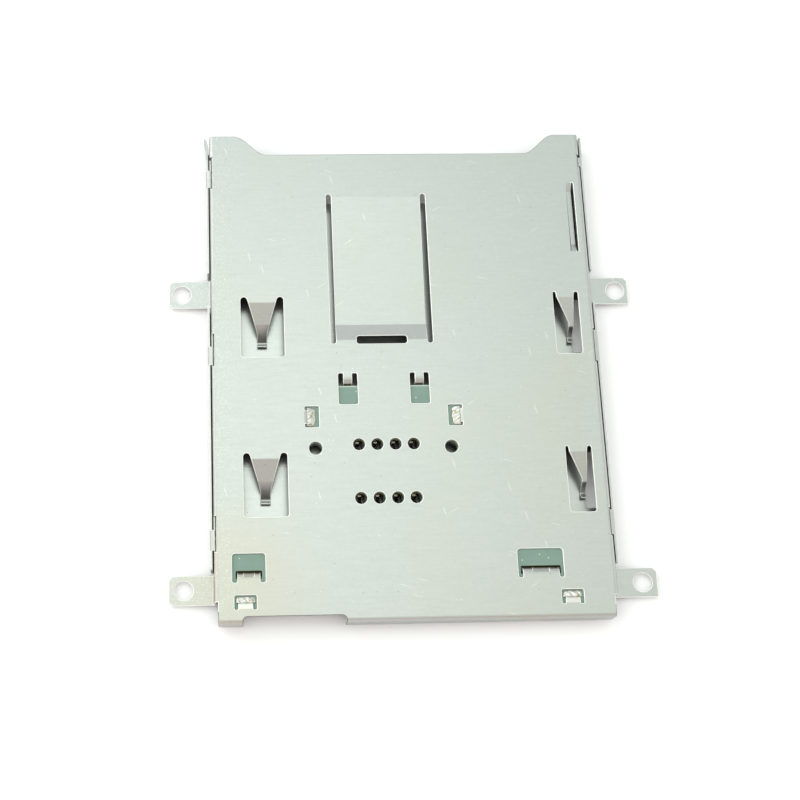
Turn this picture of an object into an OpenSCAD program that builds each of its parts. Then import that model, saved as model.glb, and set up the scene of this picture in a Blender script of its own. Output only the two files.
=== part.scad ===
// Smart card reader board: a thin cage folded from two sheets, with the circuit board inside.
// Lengths are millimetres and angles are degrees. X runs across the card mouth, +Y points out
// of the mouth and Z is up. The origin is at the middle of the footprint, on the surface that
// the tray's floor rests on. A depth is measured from the cover's mouth edge towards the rear.

/* [Cage] */
// Overall height, from the tray's underside to the top of the cover
cage_h = 3.7; // [3.6:0.05:4.6]
// Width of the cover over its side flanges
cover_w = 54.65; // [54.4:0.05:57]
// Depth of the cover behind the card stops
rear_bay = 7.05; // [6.8:0.05:9.5]
// Thickness of the cover's sheet
sheet_t = 0.25; // [0.2:0.01:0.3]
// Inside radius of the cover's sharp folds
bend_r = 0.25; // [0.15:0.01:0.3]
// Thickness of the tray's sheet
tray_t = 0.3; // [0.2:0.01:0.35]
// Gap between a cover flange and the tray's wall outside it
wall_gap = 0.2; // [0.1:0.01:0.4]
// Clearance where one sheet stands on, or in front of, another piece
seat_gap = 0.05; // [0.02:0.01:0.1]

/* [Mouth] */
// How far the two side horns reach out past the mouth edge
horn_l = 3; // [1:0.1:5]
// Half width of the straight mouth edge between the horns
mouth_half = 19; // [12:0.1:21]
// Width over which a horn's edge sweeps down to the mouth edge
horn_sweep = 4.7; // [2:0.1:5]
// Depth of the thumb cut-out in the tray's floor
thumb_depth = 6.4; // [4.5:0.1:9]
// Half width of the thumb cut-out at its inner edge
thumb_half = 14.5; // [8:0.1:17]

/* [Ears] */
// Distance of the fixing holes from the cover's sides
ear_out = 4.175; // [3.4:0.025:5]
// Distance of the rear pair of fixing holes from the cover's rear face
ear_rear_setback = 5; // [4.9:0.05:5.4]
// Spacing of the fixing holes along the cage
ear_pitch = 42.85; // [42.5:0.05:43.2]
// Width of each ear along the cage
ear_w = 4.1; // [3.6:0.05:4.4]
// Diameter of the fixing holes
ear_hole_d = 2.6; // [2:0.05:3]
// Metal between a fixing hole's centre and the ear's end
ear_end = 1.85; // [1.75:0.05:2.5]
// Extra length of the rear pair of ears
ear_rear_extra = 0.2; // [0:0.05:0.4]
// Inside radius of the fold at an ear's foot
ear_bend_r = 0.45; // [0.25:0.05:0.6]
// Height of the ears above the surface that the tray rests on
ear_lift = 0.6; // [0.4:0.05:1]

/* [Pressing leaves] */
// Distance from the card stops forward to the fold of the left rear leaf
leaf_setback = 15.65; // [14.5:0.05:17]
// Distance from the front pair to the rear pair
leaf_pitch = 22.95; // [20:0.05:24]
// Middle of the left leaves, from the cover's left side
leaf_left_inset = 7.225; // [6.8:0.025:7.6]
// Width of a left leaf at its fold
leaf_root_w = 4; // [3.2:0.05:4.3]
// Width of a left leaf at its tip
leaf_tip_w = 1.42; // [1:0.02:2]
// How far the right leaves' folds lie in front of the left ones'
leaf_side_lead = 0.35; // [0:0.05:0.6]
// Straight outer edge of the right leaves, from the cover's right side
leaf_right_inset = 2.675; // [2.5:0.025:2.9]
// Width of a right leaf at its fold
leaf_side_w = 2.5; // [2:0.05:2.7]
// Width of a right leaf at its tip
leaf_side_tip_w = 0.75; // [0.6:0.05:1.2]
// Slope of a left leaf's first stretch
leaf_slope_1 = 22; // [15:1:25]
// Slope of a left leaf's second stretch
leaf_slope_2 = 42; // [38:1:50]
// Length of a left leaf's first stretch
leaf_l1 = 3; // [2.5:0.05:3.4]
// Slope of a right leaf's first stretch
leaf_side_slope_1 = 19; // [15:1:21]
// Slope of a right leaf's second stretch
leaf_side_slope_2 = 58; // [50:1:64]
// Length of a right leaf's first stretch
leaf_side_l1 = 4; // [3.5:0.05:4.2]
// Width of a left leaf's window
leaf_window_w = 6.1; // [5.6:0.05:6.6]
// Length of a leaf's window behind the fold
leaf_window_l = 8.25; // [7.5:0.05:8.8]

/* [Guide panel and rib] */
// Middle of the sloping guide panel, from the centre line
panel_x = -3.22; // [-4:0.02:-3]
// Width of the guide panel
panel_w = 13; // [11:0.1:14]
// Depth at which the guide panel leaves the cover's plane
panel_depth = 6.85; // [6:0.05:8]
// Distance from the foot of the panel's ramp back to the board's front edge
panel_gap = 6.65; // [6:0.05:9]
// How far the panel's ridge lies under the cover's plane
panel_drop = 0.9; // [0.5:0.05:1.1]
// Slope of the short ramp behind the ridge
ramp_slope = 19.5; // [16:0.5:30]
// Width of the two long slots beside the panel
slot_w = 0.75; // [0.5:0.05:1]
// Outer edge of the side rib's slot, from the cover's right side
rib_inset = 1.3; // [1.1:0.05:1.6]
// Width of the side rib
rib_w = 0.85; // [0.6:0.05:0.9]
// Width of the side rib's slot
rib_slot_w = 1.12; // [1:0.01:1.2]
// Depth of the front end of the side rib's slot
rib_depth = 4.8; // [4:0.05:6]
// Length of the side rib's slot
rib_l = 10.95; // [8:0.05:12]
// How far the rib is pressed down
rib_drop = 0.5; // [0.3:0.05:0.7]
// Slope of the ramps at the rib's two ends
rib_slope = 23; // [20:1:40]

/* [Card stops and solder tabs] */
// Depth of the two card stop faces
stop_depth = 61.6; // [58:0.05:65]
// Inside radius of the wide folds of the stops and of the board locating tabs
wide_bend_r = 0.8; // [0.6:0.05:0.9]
// Middle of the left stop, from the cover's left side
stop_left_inset = 4.675; // [4.4:0.025:5]
// Width of the left stop
stop_left_w = 3.1; // [2.6:0.05:3.3]
// Middle of the right stop, from the cover's right side
stop_right_inset = 10.325; // [9:0.025:11.5]
// Width of the right stop
stop_right_w = 5; // [4:0.05:5.2]
// Distance of the rear solder tabs' fold from the cover's rear face
solder_rear_setback = 2.45; // [2.3:0.05:2.6]
// Middle of the left rear solder tab, from the cover's left side
solder_rear_left_inset = 4.175; // [3.9:0.025:4.4]
// Middle of the right rear solder tab, from the cover's right side
solder_rear_right_inset = 6.275; // [5:0.025:6.6]
// Width of each solder tab
solder_tab_w = 2; // [1.6:0.05:2.2]
// Distance of the middle solder tabs behind the board's front edge
solder_mid_setback = 4.5; // [4.2:0.05:5]
// Fold line of the left middle solder tab
solder_mid_left_x = -14.5; // [-14.8:0.05:-14.2]
// Fold line of the right middle solder tab
solder_mid_right_x = 7.6; // [7.3:0.05:7.8]
// Gap between the two locating tabs and the board's front edge
locate_gap = 0.15; // [0.1:0.05:0.5]
// Width of each board locating tab
locate_tab_w = 1.28; // [1:0.02:1.4]

/* [Circuit board] */
// Thickness of the circuit board
pcb_t = 0.8; // [0.6:0.05:1]
// Distance from the card stops forward to the board's front edge
board_reach = 26; // [25:0.05:27.5]
// Distance from the card stops forward to where the board widens to the full cage
board_strip = 5.1; // [4:0.1:6]
// Width of the board's narrow front part
pcb_stem_w = 25.8; // [24:0.1:28]
// Gap between the board's edges and the cover's flanges
pcb_gap = 0.22; // [0.15:0.01:0.5]

/* [Contacts] */
// Pitch of the contacts across the card
contact_pitch = 2.54; // [2.5:0.01:2.6]
// Distance between the two rows of contacts
row_pitch = 7.62; // [7.5:0.01:7.7]
// Middle of the contact field, from the centre line
contact_x = -3.26; // [-3.6:0.02:-3]
// Distance from the card stops forward to the front row of contact holes
contact_setback = 17.45; // [17.2:0.05:17.7]
// Diameter of the contact holes in the cover
contact_hole_d = 1.7; // [1.3:0.05:1.9]
// How far in front of its hole a contact touches the card
contact_lead = 0.82; // [0.5:0.02:1]
// Thickness of the contact springs
spring_t = 0.15; // [0.1:0.01:0.2]
// Lowest point of a free contact spring above the tray's floor
spring_free = 0.35; // [0.2:0.05:0.6]
// Thickness of the contact housing
housing_t = 0.85; // [0.6:0.05:1]
// Left assembly hole beside the contact field, from the centre line
datum_left_x = -13.1; // [-13.3:0.05:-12.9]
// Right assembly hole beside the contact field, from the centre line
datum_right_x = 5.8; // [5.6:0.05:6]
// Distance of the assembly holes behind the front row of contact holes
datum_lag = 0.48; // [0.2:0.02:0.8]
// Diameter of the assembly holes in the cover
datum_hole_d = 1.9; // [1.7:0.05:2.1]
// Diameter of the assembly holes in the board and the contact housing
datum_bore_d = 1.7; // [1.3:0.05:1.8]

/* [Flat cable connector] */
// Middle of the connector, from the cover's left side
ffc_inset = 10.75; // [10.5:0.05:11.5]
// Distance of the connector behind the card stops
ffc_gap = 1.55; // [1.45:0.05:1.8]
// Width of the connector's housing
ffc_w = 13.4; // [13:0.05:13.6]
// Height of the connector's housing
ffc_h = 1.25; // [1.2:0.01:1.35]
// Length of the connector's housing along the cage
ffc_l = 4.1; // [3.8:0.05:4.3]
// Number of conductors
ffc_count = 10; // [6:1:10]
// Pitch of the conductors
ffc_pitch = 1; // [0.8:0.05:1]
// Room at each side of the connector in the notch of the cover's rear edge
ffc_notch_gap = 0.25; // [0.1:0.05:0.6]
// Length of the latch from its pivot to its free edge
latch_l = 1.5; // [1.2:0.05:1.55]
// Radius of the latch's pivot pins
latch_pin_r = 0.24; // [0.18:0.01:0.26]
// Running clearance of the pivot pins
latch_gap = 0.05; // [0.03:0.01:0.08]

/* [Hidden] */

$fn = 48;
bend_facets = 5;
sweep_facets = 10;
through = 20;
lap = 0.25;
over = 1;
hair = 0.001;

// Where the length of the cage lies on the Y axis
cover_depth = stop_depth + rear_bay;
cage_l = cover_depth + horn_l;
mouth_y = cage_l/2 - horn_l;
function y_at(depth) = mouth_y - depth;

// Folds of the cover
bend_m = bend_r + sheet_t/2;
bend_o = bend_r + sheet_t;
plate_z = cage_h - sheet_t/2;
under_z = cage_h - sheet_t;
flat_x = cover_w/2 - bend_o;
flat_depth = cover_depth - bend_o;
wide_m = wide_bend_r + sheet_t/2;
wide_o = wide_bend_r + sheet_t;
flange_z = tray_t + seat_gap;
flange_in_x = cover_w/2 - sheet_t;

// Tray
tray_bend_r = 0.2;
tray_bend_m = tray_bend_r + tray_t/2;
tray_x = cover_w/2 + wall_gap + tray_t;
tray_flat_x = tray_x - tray_bend_r - tray_t;
tray_wall_top = cage_h - 0.6;
tray_front = -horn_l + 0.1;
tray_rear = cover_depth - sheet_t - seat_gap;
flare_l = 1.3;
flare_tip_l = 1.1;
flare_r = 0.6;
flare_left_a = 14;
flare_right_a = 4;
flare_z = 0.9;
tray_inset = 0.3;
tray_step = 0.3;
thumb_lead = 2;
thumb_step = 1;
bay_side = 0.6;
bay_lead = 0.4;
tip_slot_gap = 0.3;
tip_slot_lead = 1;
tip_slot_tail = 7;

// Ears
ear_x = cover_w/2 + ear_out;
ear_m = ear_bend_r + sheet_t/2;
ear_z = ear_lift + sheet_t/2;
ear_rear_depth = cover_depth - ear_rear_setback;
ear_front_depth = ear_rear_depth - ear_pitch;
ear_depths = [ear_front_depth, ear_rear_depth];
ear_front_reach = ear_x + ear_end;
ear_rear_reach = ear_front_reach + ear_rear_extra;
flange_rear = ear_rear_depth + ear_w/2;
ear_relief = 0.4;
ear_chamfer = 0.55;
ear_slit_h = 0.9;

// Latches between the tray's walls and the cover's flanges: start depth and length. The middle
// ones start behind the front ears and the rear ones in front of the rear ears.
left_mid_lag = 6.8;
left_rear_lead = 9.75;
right_mid_lag = 6.6;
right_rear_lead = 10.05;
left_latches = [[0.4, 4.9], [ear_front_depth + left_mid_lag, 4.9],
    [ear_rear_depth - left_rear_lead, 5]];
right_latches = [[0.35, 1.9], [ear_front_depth + right_mid_lag, 5.1],
    [ear_rear_depth - right_rear_lead, 4]];
hook_z = cage_h - 0.7;
hook_bite = 0.1;
hook_root = 0.8;
hook_r = 0.15 + tray_t/2;
latch_cut = 0.37;
hook_end_gap = 0.25;
hook_left_lead = 1.9;
function hook_start(left, latch) = latch[0] + (left ? hook_left_lead : hook_end_gap);
function hook_end(latch) = latch[0] + latch[1] - hook_end_gap;

// Circuit board
pcb_top = under_z - seat_gap;
pcb_z = pcb_top - pcb_t;
pcb_x = flange_in_x - pcb_gap;
pcb_front = stop_depth - board_reach;
pcb_wide_depth = stop_depth - board_strip;
pcb_corner_r = 0.5;
stop_slot_r = 0.2;
tab_gap = 0.12;
tab_slot_r = 0.15;

// Windows in the cover. A tab's window is wider than the tab by a side on each side.
leaf_depth = stop_depth - leaf_setback - leaf_pitch;
leaf_left_x = leaf_left_inset - cover_w/2;
leaf_right_x = cover_w/2 - leaf_right_inset;
rib_x = cover_w/2 - rib_inset - rib_slot_w;
stop_left_x = stop_left_inset - cover_w/2;
stop_right_x = cover_w/2 - stop_right_inset;
solder_rear_depth = cover_depth - solder_rear_setback;
solder_rear_left_x = solder_rear_left_inset - cover_w/2;
solder_rear_right_x = cover_w/2 - solder_rear_right_inset;
solder_mid_depth = pcb_front + solder_mid_setback;
locate_depth = pcb_front - locate_gap - wide_o;
rear_flange_h = 3.05;
rear_chamfer = 0.35;
window_r = 0.4;
lobe_l = 0.75;
lobe_fill = 0.45;
lobe_facets = 12;
leaf_taper = 4.2;
side_taper = 3.6;
side_window_in = 0.48;
side_window_out = 0.65;
slot_lead = 0.45;
notch_in = 0.4;
notch_r = 0.6;
pcb_rear = flat_depth - notch_in - 0.15;
stop_window_lead = 2.4;
stop_window_depth = stop_depth - stop_window_lead;
stop_relief = 0.5;
stop_left_side = 0.7;
stop_right_side = 0.6;
stop_corner_r = 0.45;
stop_edge_gap = 0.1;
stop_side_gap = 0.24;
stop_fold = stop_depth + wide_o;
stop_foot_gap = 0.15;
solder_short = 0.1;
locate_bite = 0.4;
coin_t = 0.1;
coin_a = 35;
coin_share = 0.44;
solder_window_l = 1.35;
solder_relief = 0.6;
solder_side = 0.5;
relief_share = 0.4;
mid_window_w = 2;
mid_window_l = 3.05;
locate_window_w = 2.68;
locate_window_l = 4.55;
locate_root = 0.6;
small_corner_r = 0.27;
locate_left_x = -8.3;
locate_right_x = 1.8;
ramp_slot_w = 7.15;
ramp_slot_l = 1.25;
ramp_slot_share = 0.6;

// Guide panel: one long slope, a ridge and a short ramp that ends in the cover's plane again
panel_end = pcb_front - panel_gap;
panel_span = panel_end - panel_depth;
panel_a = atan(panel_drop/(panel_span - panel_drop/tan(ramp_slope)));
panel_l1 = (panel_span - 2*bend_m*(sin(panel_a) + sin(ramp_slope))
    - 2*bend_m*(cos(ramp_slope) - cos(panel_a))/tan(ramp_slope))
    /(cos(panel_a) + sin(panel_a)/tan(ramp_slope));
panel_l2 = (panel_l1*sin(panel_a) + 2*bend_m*(cos(ramp_slope) - cos(panel_a)))/sin(ramp_slope);

// Pressing leaves: the second stretch is as long as it takes to reach the tray's floor
leaf_curl_r = 0.35;
leaf_curl_lift = 38;
leaf_tip_l = 0.5;
leaf_side_tip_l = 0.75;
function leaf_l2(slope_1, l1, slope_2) =
    (plate_z - tray_t - seat_gap - sheet_t/2 - l1*sin(slope_1)
        - (leaf_curl_r + bend_m)*(1 - cos(slope_2)))/sin(slope_2);

// Contact field
contact_depth = stop_depth - contact_setback;
datum_depth = contact_depth + datum_lag;
contact_xs = [for (i = [0:3]) contact_x + (i - 1.5)*contact_pitch];
contact_rows = [contact_depth, contact_depth + row_pitch];
pcb_hole_d = contact_hole_d - 0.1;
housing_z = pcb_z - housing_t;
housing_lead = 2.25;
housing_lead_in = 0.5;
housing_tail = 3.7;
housing_front = contact_depth - housing_lead;
housing_rear = contact_rows[1] + housing_tail;
datum_land = 1.6;
cavity_w = 1.1;
cavity_front = 1.95;
cavity_rear = 2.75;
foot_gap = 0.9;
foot_l = 1;
foot_end = cavity_rear + foot_gap + foot_l;
foot_side = 1.2;
foot_air = 0.4;
groove_h = spring_t + 0.07;
groove_side = 0.05;
groove_tail = 0.1;
solder_film = 0.01;
spring_slope = 27.5;
spring_bend_r = 0.3;
crown_r = 0.5;
spring_tip_lift = 45;
spring_tip_l = 0.5;
spring_root_w = 0.9;
spring_tip_w = 0.45;
spring_neck = 0.4;
spring_waist = 0.6;
spring_z = pcb_z - spring_t/2 - solder_film;
spring_fall = spring_z - (tray_t + spring_free + spring_t/2);
spring_l = (spring_fall - (spring_bend_r + crown_r)*(1 - cos(spring_slope)))/sin(spring_slope);
spring_run = (spring_bend_r + crown_r)*sin(spring_slope) + spring_l*cos(spring_slope);

// Flat cable connector
ffc_z = pcb_z - ffc_h;
ffc_x = ffc_inset - cover_w/2;
ffc_front = stop_depth + ffc_gap;
ffc_rear = ffc_front + ffc_l;
ffc_notch_w = ffc_w + 2*ffc_notch_gap;
ffc_arm_w = 0.6;
ffc_half = ffc_w/2;
ffc_mouth_inset = 0.5;
ffc_mouth_half = ffc_half - ffc_arm_w - ffc_mouth_inset;
ffc_mouth_z = ffc_z + 0.4;
ffc_mouth_h = 0.5;
ffc_back_wall = 0.9;
ffc_groove_w = 0.4;
ffc_groove_h = 0.2;
ffc_strip_w = 0.3;
ffc_strip_t = 0.12;
ffc_foot_l = 0.42;
ffc_foot_out = 0.45;
ffc_beam_l = 2.6;
ffc_step_room = 0.6;
ffc_groove_end = 0.4;
ffc_lip = 0.05;
latch_edge = 0.25;
latch_depth = ffc_rear - latch_l - latch_edge;
latch_z = ffc_z + 0.3;
latch_r = 0.28;
latch_t = 0.34;
latch_side_gap = 0.1;
latch_half = ffc_half - ffc_arm_w - latch_side_gap;
latch_recess = 0.32;
latch_roof = 0.08;
beam_gap = 0.02;
nail_t = 0.2;
nail_r = 0.15;
nail_w = 1.6;
nail_gap = 0.02;
nail_out = 0.9;
nail_setback = 1.4;
nail_foot_l = 0.55;
nail_lug_h = 0.35;

// Card switch
switch_x = -3.5;
switch_w = 4;
switch_l = 2.4;
switch_h = 1.05;
switch_setback = 1.6;
switch_front = stop_depth + switch_setback;
switch_lead = 0.35;
switch_leaf_w = 0.7;
switch_leaf_t = 0.12;
switch_leaf_step = 0.45;
switch_leaf_r = 0.2;
switch_slot_gap = 0.1;
switch_wall = 0.5;
switch_moving_gap = 0.3;
switch_fixed_gap = 0.9;
switch_level = pcb_z - 0.3;

// Small components on the board's underside
part_room = 1.85;
chip_x = 5.5;
chip_setback = 2.7;
chip_depth = pcb_rear - chip_setback;
chip_w = 5;
chip_t = 0.85;
crystal_x = 11.4;
crystal_setback = 2.3;
crystal_depth = pcb_rear - crystal_setback;
body_lift = 0.03;
cap_l = 1.6;
cap_w = 0.8;
cap_t = 0.8;
res_l = 1;
res_w = 0.5;
res_t = 0.35;
part_x = ffc_x + ffc_half + part_room;
solder_r = 0.62;
solder_h = 0.2;
solder_lead = 0.3;
solder_reach = 2;
// Each small part's place: X, then the distance in front of the board's rear edge. The first two
// capacitors and the last resistor serve the cable connector and stay beside it.
cap_spots = [[part_x - 0.15, 6.4], [part_x + 1.6, 0.7], [1.4, 3], [9.6, 0.55], [12.4, 9],
    [15.2, 2]];
res_spots = [[-0.2, 0.4], [1.2, 7.4], [8.4, 8.2], [16.8, 2], [part_x - 1, 9]];

// Frames of point and heading along a bent strip. Each step is a straight length, then a turn
// (left is positive) on a mean radius.
function bent_frames(steps, p, h, i = 0) =
    i == len(steps) ? [] :
    let (straight = steps[i][0], turn = steps[i][1], r = steps[i][2],
         q = p + straight*[cos(h), sin(h)],
         side = sign(turn),
         c = q + side*r*[-sin(h), cos(h)],
         bend = turn == 0 ? [] :
             [for (k = [1:bend_facets]) let (a = h + turn*k/bend_facets)
                 [c + side*r*[sin(a), -cos(a)], a]],
         last = turn == 0 ? [q, h] : bend[len(bend) - 1])
    concat(straight > 0 ? [[q, h]] : [], bend, bent_frames(steps, last[0], last[1], i + 1));

// Closed outline of a sheet of thickness t that follows those frames from the origin
function bent_outline(steps, t, h = 0) =
    let (frames = concat([[[0, 0], h]], bent_frames(steps, [0, 0], h)))
    concat([for (f = frames) f[0] + t/2*[-sin(f[1]), cos(f[1])]],
           [for (k = [len(frames) - 1:-1:0])
               frames[k][0] - t/2*[-sin(frames[k][1]), cos(frames[k][1])]]);

// A bent strip that starts at a depth and height and runs along the cage, w wide
module strip_y(steps, t, w, x, depth, z, forward = false) {
    translate([x, y_at(depth), z])
        mirror([0, forward ? 1 : 0, 0])
            rotate([90, 0, -90])
                linear_extrude(w, center = true)
                    polygon(bent_outline(steps, t));
}

// A bent strip that runs outwards from x, w wide along the cage
module strip_x(steps, t, w, x, depth, z, left = false, h = 0) {
    translate([x, y_at(depth), z])
        mirror([left ? 1 : 0, 0, 0])
            rotate([90, 0, 0])
                linear_extrude(w, center = true)
                    polygon(bent_outline(steps, t, h));
}

// A box between two x values, two depths and two heights
module block(x0, x1, d0, d1, z0, z1) {
    translate([x0, y_at(d1), z0]) cube([x1 - x0, d1 - d0, z1 - z0]);
}

// A flat rectangle with round corners, between two x values and two depths
module round_plan(x0, x1, d0, d1, r) {
    w = x1 - x0;
    l = d1 - d0;
    translate([x0, y_at(d1)]) {
        translate([r, 0]) square([w - 2*r, l]);
        translate([0, r]) square([w, l - 2*r]);
        for (x = [r, w - r], y = [r, l - r])
            translate([x, y]) circle(r);
    }
}

module hole(x, depth, d, z = 0, h = through) {
    translate([x, y_at(depth), z]) cylinder(h = h, d = d);
}

// Right half of a horn's edge, sweeping from the mouth edge out to the horn's front
function horn_sweep_points(inset) =
    [for (k = [0:sweep_facets]) let (u = k/sweep_facets)
        [mouth_half + inset + u*horn_sweep, mouth_y + (horn_l - inset)*(1 - cos(180*u))/2]];

// Plan of a sheet with horns, as wide as 2 half and ending at the depth rear
function sheet_plan(half, rear, inset = 0) =
    let (sweep = horn_sweep_points(inset))
    concat([[-half, y_at(rear)], [half, y_at(rear)], [half, mouth_y + horn_l - inset]],
           [for (k = [sweep_facets:-1:0]) sweep[k]],
           [for (k = [0:sweep_facets]) [-sweep[k][0], sweep[k][1]]],
           [[-half, mouth_y + horn_l - inset]]);

// Window of a pressing leaf: the opening behind the fold and a round lobe on each side of the root
module leaf_window(x0, x1, root0, root1, fold, end) {
    round_plan(x0, x1, fold + window_r, end, window_r);
    translate([x0, y_at(fold + 3*window_r)]) square([x1 - x0, 3*window_r]);
    window_lobe(x0, root0, fold);
    window_lobe(x1, root1, fold);
}

// A lobe between a window's side and the leaf's root: an arc in front, then a line that runs
// tangentially from the arc to the root's corner on the fold
module window_lobe(side_x, root_x, fold) {
    toward = sign(root_x - side_x);
    gap = abs(root_x - side_x);
    r = lobe_fill*gap;
    to_root = [gap - r, lobe_l - r];
    last = atan2(to_root[1], to_root[0]) - acos(r/norm(to_root));
    arc = [for (k = [0:lobe_facets]) let (a = -180 + (last + 180)*k/lobe_facets)
        [r + r*cos(a), r - lobe_l + r*sin(a)]];
    outline = concat(arc, [[gap, 0], [gap, window_r], [0, window_r]]);
    polygon([for (q = outline) [side_x + toward*q[0], y_at(fold + q[1])]]);
}

// Plan of the cover's plate with every window
module cover_plan() {
    difference() {
        polygon(sheet_plan(flat_x, flat_depth));
        for (fold = [leaf_depth, leaf_depth + leaf_pitch]) {
            leaf_window(leaf_left_x - leaf_window_w/2, leaf_left_x + leaf_window_w/2,
                leaf_left_x - leaf_root_w/2, leaf_left_x + leaf_root_w/2, fold,
                fold + leaf_window_l);
            leaf_window(leaf_right_x - leaf_side_w - side_window_in,
                leaf_right_x + side_window_out, leaf_right_x - leaf_side_w, leaf_right_x,
                fold - leaf_side_lead, fold + leaf_window_l);
        }
        // Guide panel with the two long slots, and the side rib's slot
        for (side = [-1, 1]) {
            x = panel_x + side*(panel_w + slot_w)/2;
            round_plan(x - slot_w/2, x + slot_w/2, panel_depth - slot_lead,
                panel_end + slot_lead, slot_w/2 - hair);
        }
        translate([panel_x - panel_w/2 - lap, y_at(panel_end)])
            square([panel_w + 2*lap, panel_end - panel_depth]);
        round_plan(rib_x, rib_x + rib_slot_w, rib_depth, rib_depth + rib_l, window_r/2);
        // Contact holes and the two assembly holes
        for (x = contact_xs, depth = contact_rows)
            translate([x, y_at(depth)]) circle(d = contact_hole_d);
        for (x = [datum_left_x, datum_right_x])
            translate([x, y_at(datum_depth)]) circle(d = datum_hole_d);
        // Windows of the board locating tabs
        for (x = [locate_left_x, locate_right_x])
            difference() {
                round_plan(x - locate_window_w/2, x + locate_window_w/2,
                    locate_depth - locate_root, locate_depth - locate_root + locate_window_l,
                    small_corner_r);
                translate([x - locate_tab_w/2, y_at(locate_depth)])
                    square([locate_tab_w, locate_root + over]);
            }
        // Windows of the middle solder tabs
        round_plan(solder_mid_left_x, solder_mid_left_x + mid_window_w,
            solder_mid_depth - mid_window_l/2, solder_mid_depth + mid_window_l/2, window_r/2);
        round_plan(solder_mid_right_x - mid_window_w, solder_mid_right_x,
            solder_mid_depth - mid_window_l/2, solder_mid_depth + mid_window_l/2, window_r/2);
        // Windows of the rear solder tabs and the card stops, each with two relief notches
        for (x = [solder_rear_left_x, solder_rear_right_x])
            tab_window(x, solder_tab_w, solder_rear_depth - solder_window_l,
                solder_rear_depth, solder_relief, solder_side, small_corner_r);
        tab_window(stop_left_x, stop_left_w, stop_window_depth, stop_fold, stop_relief,
            stop_left_side, stop_corner_r);
        tab_window(stop_right_x, stop_right_w, stop_window_depth, stop_fold, stop_relief,
            stop_right_side, stop_corner_r);
        connector_notch();
    }
}

// Notch in the rear edge of the cover, over the flat cable connector
module connector_notch() {
    round_plan(ffc_x - ffc_notch_w/2, ffc_x + ffc_notch_w/2, flat_depth - notch_in,
        cover_depth + 2*notch_r, notch_r);
}

// Window of a tab that is folded down from its rear edge, with a round relief at each side
module tab_window(x, tab_w, front, fold, relief, side, corner_r) {
    round_plan(x - tab_w/2 - side, x + tab_w/2 + side, front, fold, corner_r);
    for (end = [-1, 1]) {
        middle = x + end*(tab_w + side)/2;
        round_plan(middle - side/2, middle + side/2, fold - 2*corner_r, fold + relief,
            relief_share*side);
    }
}

// A leaf pressed down out of the cover in two slopes, with a raised tip, cut to its plan outline
module pressing_leaf(x, plan, w, fold, slope_1, l1, slope_2, tip_l) {
    steps = [[lap, -slope_1, bend_m],
             [l1, slope_1 - slope_2, bend_m],
             [leaf_l2(slope_1, l1, slope_2), slope_2 + leaf_curl_lift, leaf_curl_r],
             [tip_l, 0, 0]];
    intersection() {
        strip_y(steps, sheet_t, w, x, fold - lap, plate_z);
        translate([0, y_at(fold), 0]) linear_extrude(2*cage_h) polygon(plan);
    }
}

module left_leaf(fold) {
    x = leaf_left_x;
    pressing_leaf(x, [
        [x - leaf_root_w/2, lap], [x - leaf_root_w/2, 0],
        [x - leaf_tip_w/2, -leaf_taper], [x - leaf_tip_w/2, -leaf_window_l],
        [x + leaf_tip_w/2, -leaf_window_l], [x + leaf_tip_w/2, -leaf_taper],
        [x + leaf_root_w/2, 0], [x + leaf_root_w/2, lap]], leaf_root_w + 1, fold,
        leaf_slope_1, leaf_l1, leaf_slope_2, leaf_tip_l);
}

module right_leaf(fold) {
    x1 = leaf_right_x;
    x0 = x1 - leaf_side_w;
    pressing_leaf((x0 + x1)/2, [
        [x0, lap], [x0, 0], [x1 - leaf_side_tip_w, -side_taper],
        [x1 - leaf_side_tip_w, -leaf_window_l], [x1, -leaf_window_l], [x1, lap]],
        leaf_side_w + 1, fold - leaf_side_lead,
        leaf_side_slope_1, leaf_side_l1, leaf_side_slope_2, leaf_side_tip_l);
}

module guide_panel() {
    difference() {
        strip_y([[lap, -panel_a, bend_m],
                 [panel_l1, panel_a + ramp_slope, bend_m],
                 [panel_l2, -ramp_slope, bend_m],
                 [lap, 0, 0]],
            sheet_t, panel_w, panel_x, panel_depth - lap, plate_z);
        ramp_slot();
    }
}

// Relief slot across the foot of the ramp
module ramp_slot() {
    linear_extrude(through)
        round_plan(panel_x - ramp_slot_w/2, panel_x + ramp_slot_w/2,
            panel_end - ramp_slot_share*ramp_slot_l,
            panel_end + (1 - ramp_slot_share)*ramp_slot_l, window_r);
}

module side_rib() {
    slope = rib_slope;
    rise = (rib_drop - 2*bend_m*(1 - cos(slope)))/sin(slope);
    ramp_run = rise*cos(slope) + 2*bend_m*sin(slope);
    strip_y([[lap, -slope, bend_m], [rise, slope, bend_m],
             [rib_l - 2*ramp_run, slope, bend_m], [rise, -slope, bend_m], [lap, 0, 0]],
        sheet_t, rib_w, rib_x + rib_w/2, rib_depth - lap, plate_z);
}

// A tab folded straight down from the cover's plane, on a mean radius m
function down_tab(end_z, m = bend_m) = [[lap, -90, m], [plate_z - m - end_z, 0, 0]];

// Flat that is coined across the middle of a stop's fold, w wide, to sharpen its corner
module coined_flat(x, w) {
    translate([x, y_at(stop_fold), plate_z - wide_m])
        rotate([-coin_a, 0, 0])
            translate([-w/2, -wide_m, wide_o - coin_t]) cube([w, 2*wide_m, wide_o]);
}

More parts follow.
